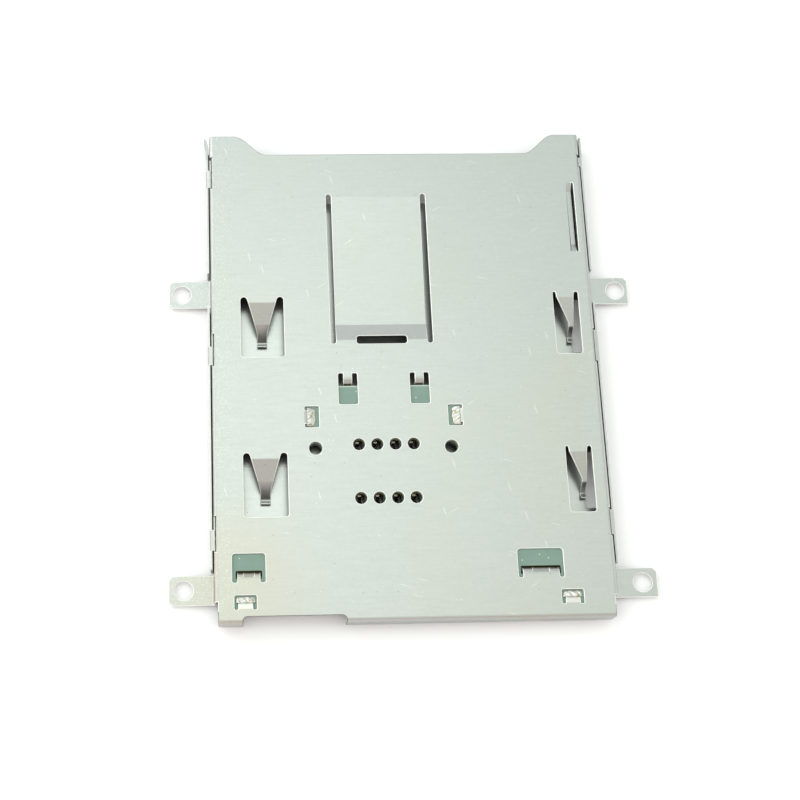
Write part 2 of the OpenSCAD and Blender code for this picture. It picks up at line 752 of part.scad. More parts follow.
module cover_tabs() {
    stop_end = tray_t + stop_foot_gap;
    solder_end = pcb_z + solder_short;
    locate_end = pcb_z - locate_bite;
    for (stop = [[stop_left_x, stop_left_w], [stop_right_x, stop_right_w]])
        difference() {
            strip_y(down_tab(stop_end, wide_m), sheet_t, stop[1], stop[0],
                stop_fold + lap, plate_z, forward = true);
            coined_flat(stop[0], coin_share*stop[1]);
        }
    for (x = [solder_rear_left_x, solder_rear_right_x])
        strip_y(down_tab(solder_end), sheet_t, solder_tab_w, x, solder_rear_depth + lap,
            plate_z, forward = true);
    for (x = [locate_left_x, locate_right_x])
        strip_y(down_tab(locate_end, wide_m), sheet_t, locate_tab_w, x, locate_depth - lap,
            plate_z);
    strip_x(down_tab(solder_end), sheet_t, solder_tab_w, solder_mid_left_x - lap,
        solder_mid_depth, plate_z);
    strip_x(down_tab(solder_end), sheet_t, solder_tab_w, solder_mid_right_x + lap,
        solder_mid_depth, plate_z, left = true);
}

// One side flange, with room for the ears and a window for each latch hook. It ends with the
// rear ear, and behind that the plate's side edge lies open.
module side_flange(left) {
    length = flange_rear + horn_l;
    latches = left ? left_latches : right_latches;
    side = left ? -1 : 1;
    difference() {
        strip_x([[lap, -90, bend_m], [plate_z - bend_m - flange_z, 0, 0]], sheet_t, length,
            side*(flat_x - lap), (flange_rear - horn_l)/2, plate_z, left);
        for (depth = ear_depths)
            mirror([left ? 1 : 0, 0, 0])
                block(flat_x, ear_x, depth - ear_w/2 - ear_relief,
                    depth + ear_w/2 + ear_relief, 0, ear_z + ear_slit_h);
        for (latch = latches)
            mirror([left ? 1 : 0, 0, 0])
                block(cover_w/2 - latch_cut, ear_x, latch[0], latch[0] + latch[1],
                    hook_z - seat_gap, 2*cage_h);
    }
}

// An ear: the flange runs down, folds outwards and carries the fixing hole. The left ears have
// both corners cut off, the right ones only the front corner.
module ear(left, depth, reach) {
    side = left ? -1 : 1;
    difference() {
        strip_x([[lap, -90, bend_m], [plate_z - bend_m - ear_m - ear_z, 90, ear_m],
                 [reach - flat_x - bend_m - ear_m, 0, 0]], sheet_t, ear_w,
            side*(flat_x - lap), depth, plate_z, left);
        hole(side*ear_x, depth, ear_hole_d, z = ear_z - sheet_t, h = 2*sheet_t);
        for (end = left ? [-1, 1] : [1])
            translate([side*reach, y_at(depth) + end*ear_w/2, ear_z])
                rotate(45)
                    cube([ear_chamfer*sqrt(2), ear_chamfer*sqrt(2), 2*sheet_t], center = true);
    }
}

module rear_flange() {
    low = cage_h - rear_flange_h;
    difference() {
        strip_y([[lap, -90, bend_m], [plate_z - bend_m - low, 0, 0]], sheet_t, 2*flat_x, 0,
            flat_depth - lap, plate_z);
        linear_extrude(through) connector_notch();
        for (side = [-1, 1])
            translate([side*flat_x, y_at(cover_depth), low])
                rotate([0, 45, 0])
                    cube([rear_chamfer*sqrt(2), 4*sheet_t, rear_chamfer*sqrt(2)], center = true);
    }
}

module cover() {
    color([0.86, 0.88, 0.86]) {
        difference() {
            translate([0, 0, under_z]) linear_extrude(sheet_t) cover_plan();
            ramp_slot();
        }
        guide_panel();
        side_rib();
        for (fold = [leaf_depth, leaf_depth + leaf_pitch]) {
            left_leaf(fold);
            right_leaf(fold);
        }
        cover_tabs();
        rear_flange();
        for (left = [false, true]) {
            side_flange(left);
            ear(left, ear_front_depth, ear_front_reach);
            ear(left, ear_rear_depth, ear_rear_reach);
        }
    }
}

// One wall of the tray, open round the ears and behind the rear ear
module tray_wall(left) {
    side = left ? -1 : 1;
    flare_start = tray_front + flare_l;
    rear_end = ear_rear_depth - ear_w/2 - ear_relief;
    rise = tray_wall_top - tray_t/2 - tray_bend_m;
    difference() {
        strip_x([[lap, 90, tray_bend_m], [rise, 0, 0]], tray_t, rear_end - flare_start,
            side*(tray_flat_x - lap), (rear_end + flare_start)/2, tray_t/2, left);
        mirror([left ? 1 : 0, 0, 0]) {
            block(tray_flat_x - lap, tray_x + 1, ear_front_depth - ear_w/2 - ear_relief,
                ear_front_depth + ear_w/2 + ear_relief, 0, 2*cage_h);
            for (latch = left ? left_latches : right_latches)
                block(tray_flat_x, tray_x + 1, hook_start(left, latch), hook_end(latch),
                    hook_z + tray_t/2 - hook_r, 2*cage_h);
        }
    }
    // The front end of the wall is flared outwards as a lead-in
    mirror([left ? 1 : 0, 0, 0])
        translate([tray_x - tray_t/2, y_at(flare_start + lap), flare_z])
            linear_extrude(tray_wall_top - flare_z)
                polygon(bent_outline([[lap, left ? -flare_left_a : -flare_right_a, flare_r],
                    [flare_tip_l, 0, 0]], tray_t, 90));
}

// A hook folded inwards from the top of the tray's wall, over the sill of a flange window
module tray_hook(left, latch) {
    side = left ? -1 : 1;
    start = tray_wall_top - hook_root;
    strip_x([[hook_z + tray_t/2 - hook_r - start, 90, hook_r],
             [wall_gap + tray_t/2 - hook_r + hook_bite, 0, 0]], tray_t,
        hook_end(latch) - hook_start(left, latch), side*(tray_x - tray_t/2),
        (hook_start(left, latch) + hook_end(latch))/2, start, left, h = 90);
}

module base_tray() {
    color([0.78, 0.80, 0.79]) {
        linear_extrude(tray_t)
            difference() {
                polygon(sheet_plan(tray_flat_x, tray_rear, tray_inset));
                // Thumb cut-out at the mouth
                polygon([[-mouth_half, mouth_y + over], [mouth_half, mouth_y + over],
                    [mouth_half - thumb_step, y_at(thumb_lead)],
                    [thumb_half, y_at(thumb_depth)], [-thumb_half, y_at(thumb_depth)],
                    [thumb_step - mouth_half, y_at(thumb_lead)]]);
                // The floor is narrower behind the rear ears, inside the cover's open edge
                for (side = [-1, 1])
                    translate([side*(flat_x - tray_step + tray_x)/2, y_at(cover_depth)])
                        square([tray_x - flat_x + tray_step, 2*(cover_depth - ear_rear_depth)],
                            center = true);
                // Access to the flat cable connector's latch
                round_plan(ffc_x - ffc_half - bay_side, ffc_x + ffc_half + bay_side,
                    ffc_front - bay_lead, cover_depth + 2*bay_side, bay_side);
                // Slots beside the tips of the right leaves
                for (fold = [leaf_depth, leaf_depth + leaf_pitch])
                    round_plan(leaf_right_x, flange_in_x - tip_slot_gap, fold - tip_slot_lead,
                        fold + tip_slot_tail, window_r);
            }
        for (left = [false, true]) {
            tray_wall(left);
            for (latch = left ? left_latches : right_latches)
                tray_hook(left, latch);
        }
    }
}

module circuit_board() {
    stem0 = contact_x - pcb_stem_w/2;
    stem1 = contact_x + pcb_stem_w/2;
    color([0.30, 0.50, 0.40])
        translate([0, 0, pcb_z])
            linear_extrude(pcb_t)
                difference() {
                    union() {
                        round_plan(stem0, stem1, pcb_front, pcb_wide_depth + 3*pcb_corner_r,
                            pcb_corner_r);
                        round_plan(-pcb_x, pcb_x, pcb_wide_depth, pcb_rear, pcb_corner_r);
                    }
                    for (x = contact_xs, depth = contact_rows)
                        translate([x, y_at(depth)]) circle(d = pcb_hole_d);
                    for (x = [datum_left_x, datum_right_x])
                        translate([x, y_at(datum_depth)]) circle(d = datum_bore_d);
                    stop_cutout(stop_left_x, stop_left_w);
                    stop_cutout(stop_right_x, stop_right_w);
                    for (x = [solder_rear_left_x, solder_rear_right_x])
                        round_plan(x - solder_tab_w/2 - tab_gap, x + solder_tab_w/2 + tab_gap,
                            solder_rear_depth - bend_o - tab_gap,
                            solder_rear_depth - bend_r + tab_gap, tab_slot_r);
                    mid_slot(solder_mid_left_x + bend_r - tab_gap);
                    mid_slot(solder_mid_right_x - bend_o - tab_gap);
                }
}

// Cut-out that a card stop passes through
module stop_cutout(x, w) {
    round_plan(x - w/2 - stop_side_gap, x + w/2 + stop_side_gap, stop_depth - stop_edge_gap,
        stop_fold, stop_slot_r);
}

// Plated slot that a middle solder tab stands in
module mid_slot(x0) {
    round_plan(x0, x0 + sheet_t + 2*tab_gap, solder_mid_depth - solder_tab_w/2 - tab_gap,
        solder_mid_depth + solder_tab_w/2 + tab_gap, tab_slot_r);
}

module contact_housing() {
    x0 = datum_left_x - datum_land;
    x1 = datum_right_x + datum_land;
    foot_x0 = contact_xs[0] - foot_side;
    foot_x1 = contact_xs[3] + foot_side;
    color([0.09, 0.09, 0.10])
        difference() {
            block(x0, x1, housing_front, housing_rear, housing_z, pcb_z);
            for (x = [datum_left_x, datum_right_x])
                hole(x, datum_depth, datum_bore_d);
            // Lead-in for the card along the lower front edge
            translate([x0 - over, y_at(housing_front), housing_z])
                rotate([45, 0, 0])
                    cube([x1 - x0 + 2*over, housing_lead_in, housing_lead_in]);
            // Window where the front row is soldered
            block(foot_x0, foot_x1, contact_rows[0] + cavity_rear + foot_gap - foot_air/2,
                contact_rows[0] + foot_end + foot_air, 0, through);
            for (x = contact_xs, depth = contact_rows) {
                block(x - cavity_w/2, x + cavity_w/2, depth - cavity_front,
                    depth + cavity_rear, 0, through);
                block(x - spring_root_w/2 - groove_side, x + spring_root_w/2 + groove_side,
                    depth, depth + cavity_rear + foot_gap + groove_tail, pcb_z - groove_h,
                    through);
            }
        }
}

// One contact spring: a soldered foot, an arm towards the mouth, a crown and a raised tip
module contact_spring(x, depth) {
    touch = depth - contact_lead;
    arm_start = touch + spring_run;
    flat_l = depth + foot_end - arm_start;
    tip = touch - crown_r*sin(spring_tip_lift) - spring_tip_l;
    color([0.80, 0.68, 0.36])
        intersection() {
            strip_y([[flat_l, -spring_slope, spring_bend_r],
                     [spring_l, spring_slope + spring_tip_lift, crown_r],
                     [spring_tip_l, 0, 0]],
                spring_t, spring_root_w, x, depth + foot_end, spring_z, forward = true);
            linear_extrude(through)
                polygon([[x - spring_root_w/2, y_at(depth + foot_end)],
                    [x + spring_root_w/2, y_at(depth + foot_end)],
                    [x + spring_root_w/2, y_at(arm_start - spring_neck)],
                    [x + spring_tip_w/2, y_at(touch + spring_waist)],
                    [x + spring_tip_w/2, y_at(tip)], [x - spring_tip_w/2, y_at(tip)],
                    [x - spring_tip_w/2, y_at(touch + spring_waist)],
                    [x - spring_root_w/2, y_at(arm_start - spring_neck)]]);
        }
}

// Slots for the two leaves run down the front of the switch housing
module switch_housing() {
    color([0.12, 0.12, 0.13])
        difference() {
            block(switch_x - switch_w/2, switch_x + switch_w/2, switch_front,
                switch_front + switch_l, pcb_z - switch_h, pcb_z);
            block(switch_x - switch_leaf_w/2 - switch_slot_gap,
                switch_x + switch_leaf_w/2 + switch_slot_gap,
                switch_front - over, switch_front + switch_l - switch_wall,
                switch_level - switch_leaf_step - switch_leaf_t, switch_level + switch_leaf_t);
        }
}

// A leaf that leaves the housing forwards and hangs down to end_z
module switch_leaf(level, front, end_z) {
    r = switch_leaf_r;
    seat = switch_front + switch_l - switch_wall - switch_slot_gap;
    color([0.82, 0.72, 0.42])
        strip_y([[seat - front - r, -90, r], [level - r - end_z, 0, 0]],
            switch_leaf_t, switch_leaf_w, switch_x, seat, level, forward = true);
}

module switch_moving_leaf() {
    switch_leaf(switch_level, stop_depth + switch_lead, tray_t + switch_moving_gap);
}

module switch_fixed_leaf() {
    switch_leaf(switch_level - switch_leaf_step, stop_depth + switch_lead + switch_leaf_step,
        tray_t + switch_fixed_gap);
}

module cable_connector() {
    x0 = ffc_x - ffc_half;
    x1 = ffc_x + ffc_half;
    color([0.88, 0.85, 0.76])
        difference() {
            block(x0, x1, ffc_front, ffc_rear, ffc_z, pcb_z);
            // Mouth for the cable
            block(ffc_x - ffc_mouth_half, ffc_x + ffc_mouth_half, ffc_front + ffc_back_wall,
                ffc_rear + over, ffc_mouth_z, ffc_mouth_z + ffc_mouth_h);
            // Open bay of the latch
            block(ffc_x - ffc_half + ffc_arm_w, ffc_x + ffc_half - ffc_arm_w,
                latch_depth - latch_r - latch_recess, ffc_rear + over, 0,
                latch_z + latch_r + latch_roof);
            // Pivot holes through both arms
            translate([ffc_x, y_at(latch_depth), latch_z])
                rotate([0, 90, 0])
                    cylinder(h = ffc_w + 2*over, r = latch_pin_r + latch_gap, center = true);
            // Grooves of the contacts
            for (i = [1:ffc_count]) {
                x = cable_x(i);
                block(x - ffc_groove_w/2, x + ffc_groove_w/2, ffc_front - over,
                    ffc_rear - ffc_groove_end, ffc_mouth_z + ffc_mouth_h - ffc_lip,
                    ffc_mouth_z + ffc_mouth_h + ffc_groove_h);
                block(x - ffc_groove_w/2, x + ffc_groove_w/2, ffc_front - over,
                    ffc_front + ffc_step_room, ffc_mouth_z + ffc_mouth_h - ffc_lip, through);
            }
        }
}

function cable_x(i) = ffc_x + (i - (ffc_count + 1)/2)*ffc_pitch;

// The latch: a round hub with a pivot pin at each end and a flat flap
module cable_latch() {
    color([0.20, 0.17, 0.15]) {
        translate([ffc_x, y_at(latch_depth), latch_z])
            rotate([0, 90, 0]) {
                cylinder(h = 2*latch_half, r = latch_r, center = true);
                cylinder(h = 2*latch_half + 2*(ffc_arm_w + latch_side_gap) - 2*latch_gap,
                    r = latch_pin_r, center = true);
            }
        block(ffc_x - latch_half, ffc_x + latch_half, latch_depth, latch_depth + latch_l,
            latch_z - latch_r, latch_z - latch_r + latch_t);
    }
}

// A small solder nail beside the connector: a lug on its side and a foot under the board
module cable_nail(side) {
    color([0.80, 0.80, 0.78])
        strip_x([[nail_foot_l, -90, nail_r + nail_t/2], [nail_lug_h, 0, 0]], nail_t, nail_w,
            ffc_x + side*(ffc_half + nail_gap + nail_out), ffc_front + nail_setback,
            pcb_z - nail_t/2 - solder_film, left = side > 0);
}

// One contact of the flat cable: a soldered foot, a small step and a straight beam
module cable_contact(i) {
    step_a = 35;
    step_r = 0.15;
    foot_z = pcb_z - ffc_strip_t/2 - solder_film;
    beam_z = ffc_mouth_z + ffc_mouth_h + ffc_strip_t/2 + beam_gap;
    fall = foot_z - beam_z;
    step_l = (fall - 2*step_r*(1 - cos(step_a)))/sin(step_a);
    color([0.84, 0.74, 0.42])
        strip_y([[ffc_foot_l, -step_a, step_r], [step_l, step_a, step_r], [ffc_beam_l, 0, 0]],
            ffc_strip_t, ffc_strip_w, cable_x(i), ffc_front - ffc_foot_out, foot_z);
}

// The chip: a flat body with a round mark in one corner and pads round its underside
module controller_chip() {
    pads = 6;
    pad_pitch = 0.65;
    pad_w = 0.3;
    pad_l = 0.4;
    pad_h = 0.2;
    pad_out = 0.05;
    mark_in = 0.7;
    mark_d = 0.6;
    mark_depth = 0.05;
    color([0.10, 0.10, 0.11])
        difference() {
            block(chip_x - chip_w/2, chip_x + chip_w/2, chip_depth - chip_w/2,
                chip_depth + chip_w/2, pcb_z - chip_t, pcb_z - body_lift);
            hole(chip_x - chip_w/2 + mark_in, chip_depth - chip_w/2 + mark_in, mark_d,
                z = pcb_z - chip_t - over, h = over + mark_depth);
        }
    color([0.80, 0.80, 0.78])
        for (turn = [0, 90, 180, 270], i = [0:pads - 1])
            translate([chip_x, y_at(chip_depth), 0])
                rotate(turn)
                    translate([(i - (pads - 1)/2)*pad_pitch - pad_w/2,
                        chip_w/2 + pad_out - pad_l, pcb_z - pad_h])
                        cube([pad_w, pad_l, pad_h]);
}

// The crystal: a low ceramic base under a smaller metal lid
module crystal() {
    w = 3.2;
    l = 2.5;
    base_h = 0.4;
    lid_in = 0.25;
    lid_r = 0.3;
    lid_h = 0.3;
    color([0.72, 0.70, 0.62]) {
        block(crystal_x - w/2, crystal_x + w/2, crystal_depth - l/2, crystal_depth + l/2,
            pcb_z - base_h, pcb_z);
        translate([0, 0, pcb_z - base_h - lid_h])
            linear_extrude(lid_h + body_lift)
                round_plan(crystal_x - w/2 + lid_in, crystal_x + w/2 - lid_in,
                    crystal_depth - l/2 + lid_in, crystal_depth + l/2 - lid_in, lid_r);
    }
}

// A two-terminal chip part: a body between two slightly larger metal ends
module chip_part(spot, l, w, h, tone) {
    end_l = 0.22*l;
    proud = 0.03;
    depth = pcb_rear - spot[1];
    color(tone) {
        block(spot[0] - l/2 + end_l/2, spot[0] + l/2 - end_l/2, depth - w/2 + proud,
            depth + w/2 - proud, pcb_z - h + proud, pcb_z - proud);
        for (side = [-1, 1])
            block(spot[0] + side*(l - end_l)/2 - end_l/2, spot[0] + side*(l - end_l)/2 + end_l/2,
                depth - w/2, depth + w/2, pcb_z - h, pcb_z);
    }
}

// Solder that has run up round a tab: a row of low caps, cut back at the tab's face
module solder_cap(x, depth) {
    ball_r = (solder_r*solder_r + solder_h*solder_h)/(2*solder_h);
    intersection() {
        translate([x, y_at(depth), pcb_top + solder_h - ball_r]) sphere(ball_r);
        translate([x, y_at(depth), pcb_top]) cylinder(h = solder_h, r = solder_r);
    }
}

module solder_rear(x) {
    face = solder_rear_depth - bend_o;
    color([0.90, 0.90, 0.88])
        intersection() {
            for (k = [-1, 0, 1])
                solder_cap(x + k*solder_r, face - solder_lead);
            block(x - solder_reach, x + solder_reach, face - solder_reach,
                face - 2*solder_film, 0, through);
        }
}

module solder_mid(face, side) {
    near = face + side*2*solder_film;
    far = face + side*solder_reach;
    color([0.90, 0.90, 0.88])
        intersection() {
            for (k = [-1, 0, 1])
                solder_cap(face + side*solder_lead, solder_mid_depth + k*solder_r);
            block(min(near, far), max(near, far), solder_mid_depth - solder_reach,
                solder_mid_depth + solder_reach, 0, through);
        }
}

cover();
base_tray();
circuit_board();
contact_housing();
for (i = [1:8])
    contact_spring(contact_xs[(i - 1)%4], contact_rows[floor((i - 1)/4)]);
switch_housing();
switch_moving_leaf();
switch_fixed_leaf();
cable_connector();
cable_latch();
cable_nail(-1);  // cable_nail_left
cable_nail(1);  // cable_nail_right
for (i = [1:ffc_count])
    cable_contact(i);
controller_chip();
crystal();
for (i = [1:6])
    chip_part(cap_spots[i - 1], cap_l, cap_w, cap_t, [0.62, 0.48, 0.34]);
for (i = [1:5])
    chip_part(res_spots[i - 1], res_l, res_w, res_t, [0.15, 0.15, 0.16]);
solder_mid(solder_mid_left_x + bend_o, 1);  // solder_mid_left
solder_mid(solder_mid_right_x - bend_o, -1);  // solder_mid_right
solder_rear(solder_rear_left_x);  // solder_rear_left
solder_rear(solder_rear_right_x);  // solder_rear_right
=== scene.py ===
"""Smart card reader board, dressed for its photograph: a flat cage of tinned sheet steel with a
green circuit board, its spring contacts and a flat cable connector inside. Lengths are metres."""

import math

import bpy
import numpy as np
from mathutils import Matrix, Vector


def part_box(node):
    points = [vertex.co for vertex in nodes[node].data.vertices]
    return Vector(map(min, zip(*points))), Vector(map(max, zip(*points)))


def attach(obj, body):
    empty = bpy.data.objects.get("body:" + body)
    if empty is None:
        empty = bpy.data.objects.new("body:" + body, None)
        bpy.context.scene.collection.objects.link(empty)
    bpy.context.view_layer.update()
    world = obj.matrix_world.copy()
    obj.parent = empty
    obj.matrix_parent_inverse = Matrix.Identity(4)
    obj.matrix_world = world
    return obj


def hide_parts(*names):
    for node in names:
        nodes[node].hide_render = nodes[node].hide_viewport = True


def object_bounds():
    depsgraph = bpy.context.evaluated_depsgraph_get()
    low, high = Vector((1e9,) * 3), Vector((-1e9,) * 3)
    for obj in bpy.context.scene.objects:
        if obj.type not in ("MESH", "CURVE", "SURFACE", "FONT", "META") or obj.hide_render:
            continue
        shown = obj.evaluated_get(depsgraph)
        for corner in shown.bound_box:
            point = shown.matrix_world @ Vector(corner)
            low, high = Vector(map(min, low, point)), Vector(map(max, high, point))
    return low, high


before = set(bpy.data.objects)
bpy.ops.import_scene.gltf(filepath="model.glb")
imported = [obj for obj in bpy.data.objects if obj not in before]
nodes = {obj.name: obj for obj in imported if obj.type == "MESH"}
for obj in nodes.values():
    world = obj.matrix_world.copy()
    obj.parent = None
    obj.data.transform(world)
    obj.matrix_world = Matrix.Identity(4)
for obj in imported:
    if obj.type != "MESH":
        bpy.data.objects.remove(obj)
cad_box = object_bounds()
mm = 0.001

# Camera. The photograph looks down on the cover from behind its rear edge, so the mouth is at
# the top. Place and turn come from the eight contact holes and the straight edges of the cover.
camera_at = (-26.27 * mm, -66.80 * mm, 208.28 * mm)
camera_right = (0.99893, -0.02576, 0.03852)
camera_up = (0.01298, 0.95336, 0.30156)
camera_back = (-0.04449, -0.30074, 0.95266)
sensor_w = 36
focal_length = 69.07
frame_shift = (0.1402, -0.0222)
nearest_seen = 5 * mm

camera_data = bpy.data.cameras.new("camera")
camera_data.sensor_width = sensor_w
camera_data.lens = focal_length
camera_data.shift_x, camera_data.shift_y = frame_shift
camera_data.clip_start = nearest_seen
camera = bpy.data.objects.new("camera", camera_data)
bpy.context.scene.collection.objects.link(camera)
turn = Matrix((camera_right, camera_up, camera_back)).transposed().to_4x4()
camera.matrix_world = Matrix.Translation(camera_at) @ turn
bpy.context.scene.camera = camera

# Floor and light. The object lies on a white table inside a light tent that is bright at the
# sides, a little green overhead, and darker and warmer towards the rear, where the camera looks
# in. A softbox in front and to the left gives short pale shadows on the blown-out table.
floor_half = 8.0
table_white = "F2F2F4"
# Tones of the tent, each an sRGB code and a strength
tent_cool = ("F1FFFC", 1.24)
tent_warm = ("FBFFF8", 1.41)
tent_side = ("FFFFFF", 1.9)
tent_front = ("F6F7F8", 1.3)
tent_rear = ("FFF4F0", 1.2)
# Shares of a direction along Z, Y or X, between which two tones or gains blend
dome_top, dome_foot = 1.0, 0.35
all_warm, all_cool = 0.12, 0.45
all_rear = -0.8
all_left, all_right = -0.05, 0.25
left_gain, right_gain = 1.11, 0.81
# Soft round patches: direction, inner and outer angle in degrees, and a gain
bright_patch = ((0.04, 0.285, 0.958), 0, 12, 2.45)
dark_patch = ((-0.105, -0.42, 0.90), 4, 26, 0.8)
mauve_patch = ((-0.06, -0.64, 0.766), 8, 22)
rear_mauve = "E4D0CE"
lamp_white = "FFFDFA"
lamp_at = (-0.42, 0.42, 0.5)
lamp_size = 0.4
lamp_power = 0.7


def srgb(code):
    """An sRGB hex code as linear red, green, blue and alpha."""
    parts = [int(code[i:i + 2], 16) / 255 for i in (0, 2, 4)]
    return (*(c / 12.92 if c <= 0.04045 else ((c + 0.055) / 1.055) ** 2.4 for c in parts), 1)


def add_node(tree, kind, inputs=None, **settings):
    """Adds a node, sets its properties, and sets or links its inputs by name or number. In a
    colour Mix node, input 0 is the factor, and 6 and 7 are the colours at factor 0 and 1."""
    made = tree.nodes.new(kind)
    for key, value in settings.items():
        setattr(made, key, value)
    for key, value in (inputs or {}).items():
        socket = made.inputs[key]
        if isinstance(value, bpy.types.NodeSocket):
            tree.links.new(value, socket)
        else:
            socket.default_value = value
    return made


def new_material(name):
    """An empty material, and the node tree to build it in."""
    made = bpy.data.materials.new(name)
    made.use_nodes = True
    made.node_tree.nodes.clear()
    return made, made.node_tree


floor_mesh = bpy.data.meshes.new("table")
floor_mesh.from_pydata([(-floor_half, -floor_half, 0), (floor_half, -floor_half, 0),
                        (floor_half, floor_half, 0), (-floor_half, floor_half, 0)],
                       [], [(0, 1, 2, 3)])
table = bpy.data.objects.new("table", floor_mesh)
bpy.context.scene.collection.objects.link(table)
table_paint, tree = new_material("matte_white_table")
paint = add_node(tree, "ShaderNodeBsdfPrincipled",
                 {"Base Color": srgb(table_white), "Roughness": 0.9, "Specular IOR Level": 0.1})
add_node(tree, "ShaderNodeOutputMaterial", {"Surface": paint.outputs["BSDF"]})
table.data.materials.append(table_paint)

tent = bpy.data.worlds.new("light_tent")
tent.use_nodes = True
tree = tent.node_tree
ray = add_node(tree, "ShaderNodeTexCoord").outputs["Generated"]
way = add_node(tree, "ShaderNodeSeparateXYZ", {0: ray})
flat = add_node(tree, "ShaderNodeVectorMath", {0: ray, 1: (1, 1, 0)}, operation="MULTIPLY")
level = add_node(tree, "ShaderNodeSeparateXYZ", {0: add_node(
    tree, "ShaderNodeVectorMath", {0: flat.outputs[0]}, operation="NORMALIZE").outputs[0]})


def tone_of(tone):
    """A tone given as an sRGB code and a strength, as one linear colour."""
    return (*(tone[1] * c for c in srgb(tone[0])[:3]), 1)


def round_patch(toward, inner, outer, low, high):
    """A value of the tent that is high within the inner angle from a direction and low beyond
    the outer one, with a smooth step between them on the cosine of the angle."""
    near = add_node(tree, "ShaderNodeVectorMath", {0: ray, 1: toward}, operation="DOT_PRODUCT")
    return add_node(tree, "ShaderNodeMapRange", {"Value": near.outputs["Value"],
                    "From Min": math.cos(math.radians(outer)),
                    "From Max": math.cos(math.radians(inner)),
                    "To Min": low, "To Max": high},
                    interpolation_type="SMOOTHSTEP").outputs[0]


# Round the horizon: rear, sides and front blend by the level direction's share along Y
to_front = add_node(tree, "ShaderNodeMapRange", {"Value": level.outputs["Y"]},
                    interpolation_type="SMOOTHSTEP")
to_rear = add_node(tree, "ShaderNodeMapRange", {"Value": level.outputs["Y"],
                   "From Max": all_rear}, interpolation_type="SMOOTHSTEP")
fore = add_node(tree, "ShaderNodeMix", {0: to_front.outputs[0], 6: tone_of(tent_side),
                7: tone_of(tent_front)}, data_type="RGBA", clamp_result=False)
round_about = add_node(tree, "ShaderNodeMix", {0: to_rear.outputs[0], 6: fore.outputs[2],
                       7: tone_of(tent_rear)}, data_type="RGBA", clamp_result=False)
# Overhead, a little cooler towards the front, down to the horizon tone 20 degrees above it
fresh = add_node(tree, "ShaderNodeMapRange", {"Value": way.outputs["Y"], "From Min": all_warm,
                 "From Max": all_cool})
overhead = add_node(tree, "ShaderNodeMix", {0: fresh.outputs[0], 6: tone_of(tent_warm),
                    7: tone_of(tent_cool)}, data_type="RGBA", clamp_result=False)
sinking = add_node(tree, "ShaderNodeMapRange", {"Value": way.outputs["Z"], "From Min": dome_top,
                   "From Max": dome_foot}, interpolation_type="SMOOTHSTEP")
dome = add_node(tree, "ShaderNodeMix", {0: sinking.outputs[0], 6: overhead.outputs[2],
                7: round_about.outputs[2]}, data_type="RGBA", clamp_result=False)
# The tent is brighter to the left. A soft bright patch lies in front of the zenith, and a soft
# dark one behind it. The sloping leaves and stops mirror the mauve cast below that
side = add_node(tree, "ShaderNodeMapRange", {"Value": way.outputs["X"], "From Min": all_left,
                "From Max": all_right, "To Min": left_gain, "To Max": right_gain})
strength = side.outputs[0]
for toward, inner, outer, gain in (bright_patch, dark_patch):
    strength = add_node(tree, "ShaderNodeMath", {
        0: round_patch(toward, inner, outer, 1.0, gain), 1: strength},
        operation="MULTIPLY").outputs[0]
tinted = add_node(tree, "ShaderNodeMix", {0: round_patch(*mauve_patch, 0.0, 1.0),
                  6: dome.outputs[2], 7: srgb(rear_mauve)}, data_type="RGBA",
                  blend_type="MULTIPLY", clamp_result=False)
glow = tree.nodes["Background"]
tree.links.new(tinted.outputs[2], glow.inputs["Color"])
tree.links.new(strength, glow.inputs["Strength"])
bpy.context.scene.world = tent

lamp_data = bpy.data.lights.new("front_left_softbox", "AREA")
lamp_data.shape = "SQUARE"
lamp_data.size = lamp_size
lamp_data.energy = lamp_power
lamp_data.color = srgb(lamp_white)[:3]
lamp = bpy.data.objects.new("front_left_softbox", lamp_data)
bpy.context.scene.collection.objects.link(lamp)
# A lamp shines against its own Z, so that axis points away from the object
away = np.array(lamp_at) / np.linalg.norm(lamp_at)
beside = np.cross((0, 1, 0), away)
beside = beside / np.linalg.norm(beside)
turn = Matrix((beside, np.cross(away, beside), away)).transposed().to_4x4()
lamp.matrix_world = Matrix.Translation(lamp_at) @ turn
bpy.context.scene.view_settings.view_transform = "Standard"

# Circuit board: a green panel of glass-fibre laminate, 0.8 mm thick, routed to shape. Its faces
# carry solder mask over copper, and the routed edges and hole walls show the bare yellow laminate.
mask_green = "768F84"
mask_dark = "6C867A"
flux_pale = "B9CDBF"
laminate = "7A7A58"
bare_laminate = "A3B0A5"
bare_w = 0.2 * mm
weave_band = 1.2566 * mm
weave_share = 0.12
mask_cloud = 2 * mm
mask_grain = mm / 6
fleck_r = 0.084 * mm
fleck_apart = 1.2 * mm
fleck_share = 0.16
# A face is routed edge where the Z of its normal is below this
edge_tilt = 0.5
# Limits of the clean-up before a bevel
same_point = 0.0005 * mm
same_rim_point = 0.003 * mm
short_edge = 0.03 * mm
flat_within = math.radians(0.5)
sharp_from = math.radians(40)


def all_of(tree, *tests):
    """1 where every test holds and 0 elsewhere: the product of the single answers. A test is a
    value, the kind of comparison, and a limit."""
    answer = None
    for value, kind, limit in tests:
        passed = add_node(tree, "ShaderNodeMath", {0: value, 1: limit}, operation=kind).outputs[0]
        answer = passed if answer is None else add_node(
            tree, "ShaderNodeMath", {0: answer, 1: passed}, operation="MULTIPLY").outputs[0]
    return answer


def levelness(tree):
    """How level a face lies: the size of its normal's Z, 1 where level and 0 where upright."""
    facing = add_node(tree, "ShaderNodeSeparateXYZ",
                      {0: add_node(tree, "ShaderNodeNewGeometry").outputs["True Normal"]})
    return add_node(tree, "ShaderNodeMath", {0: facing.outputs["Z"]},
                    operation="ABSOLUTE").outputs[0]


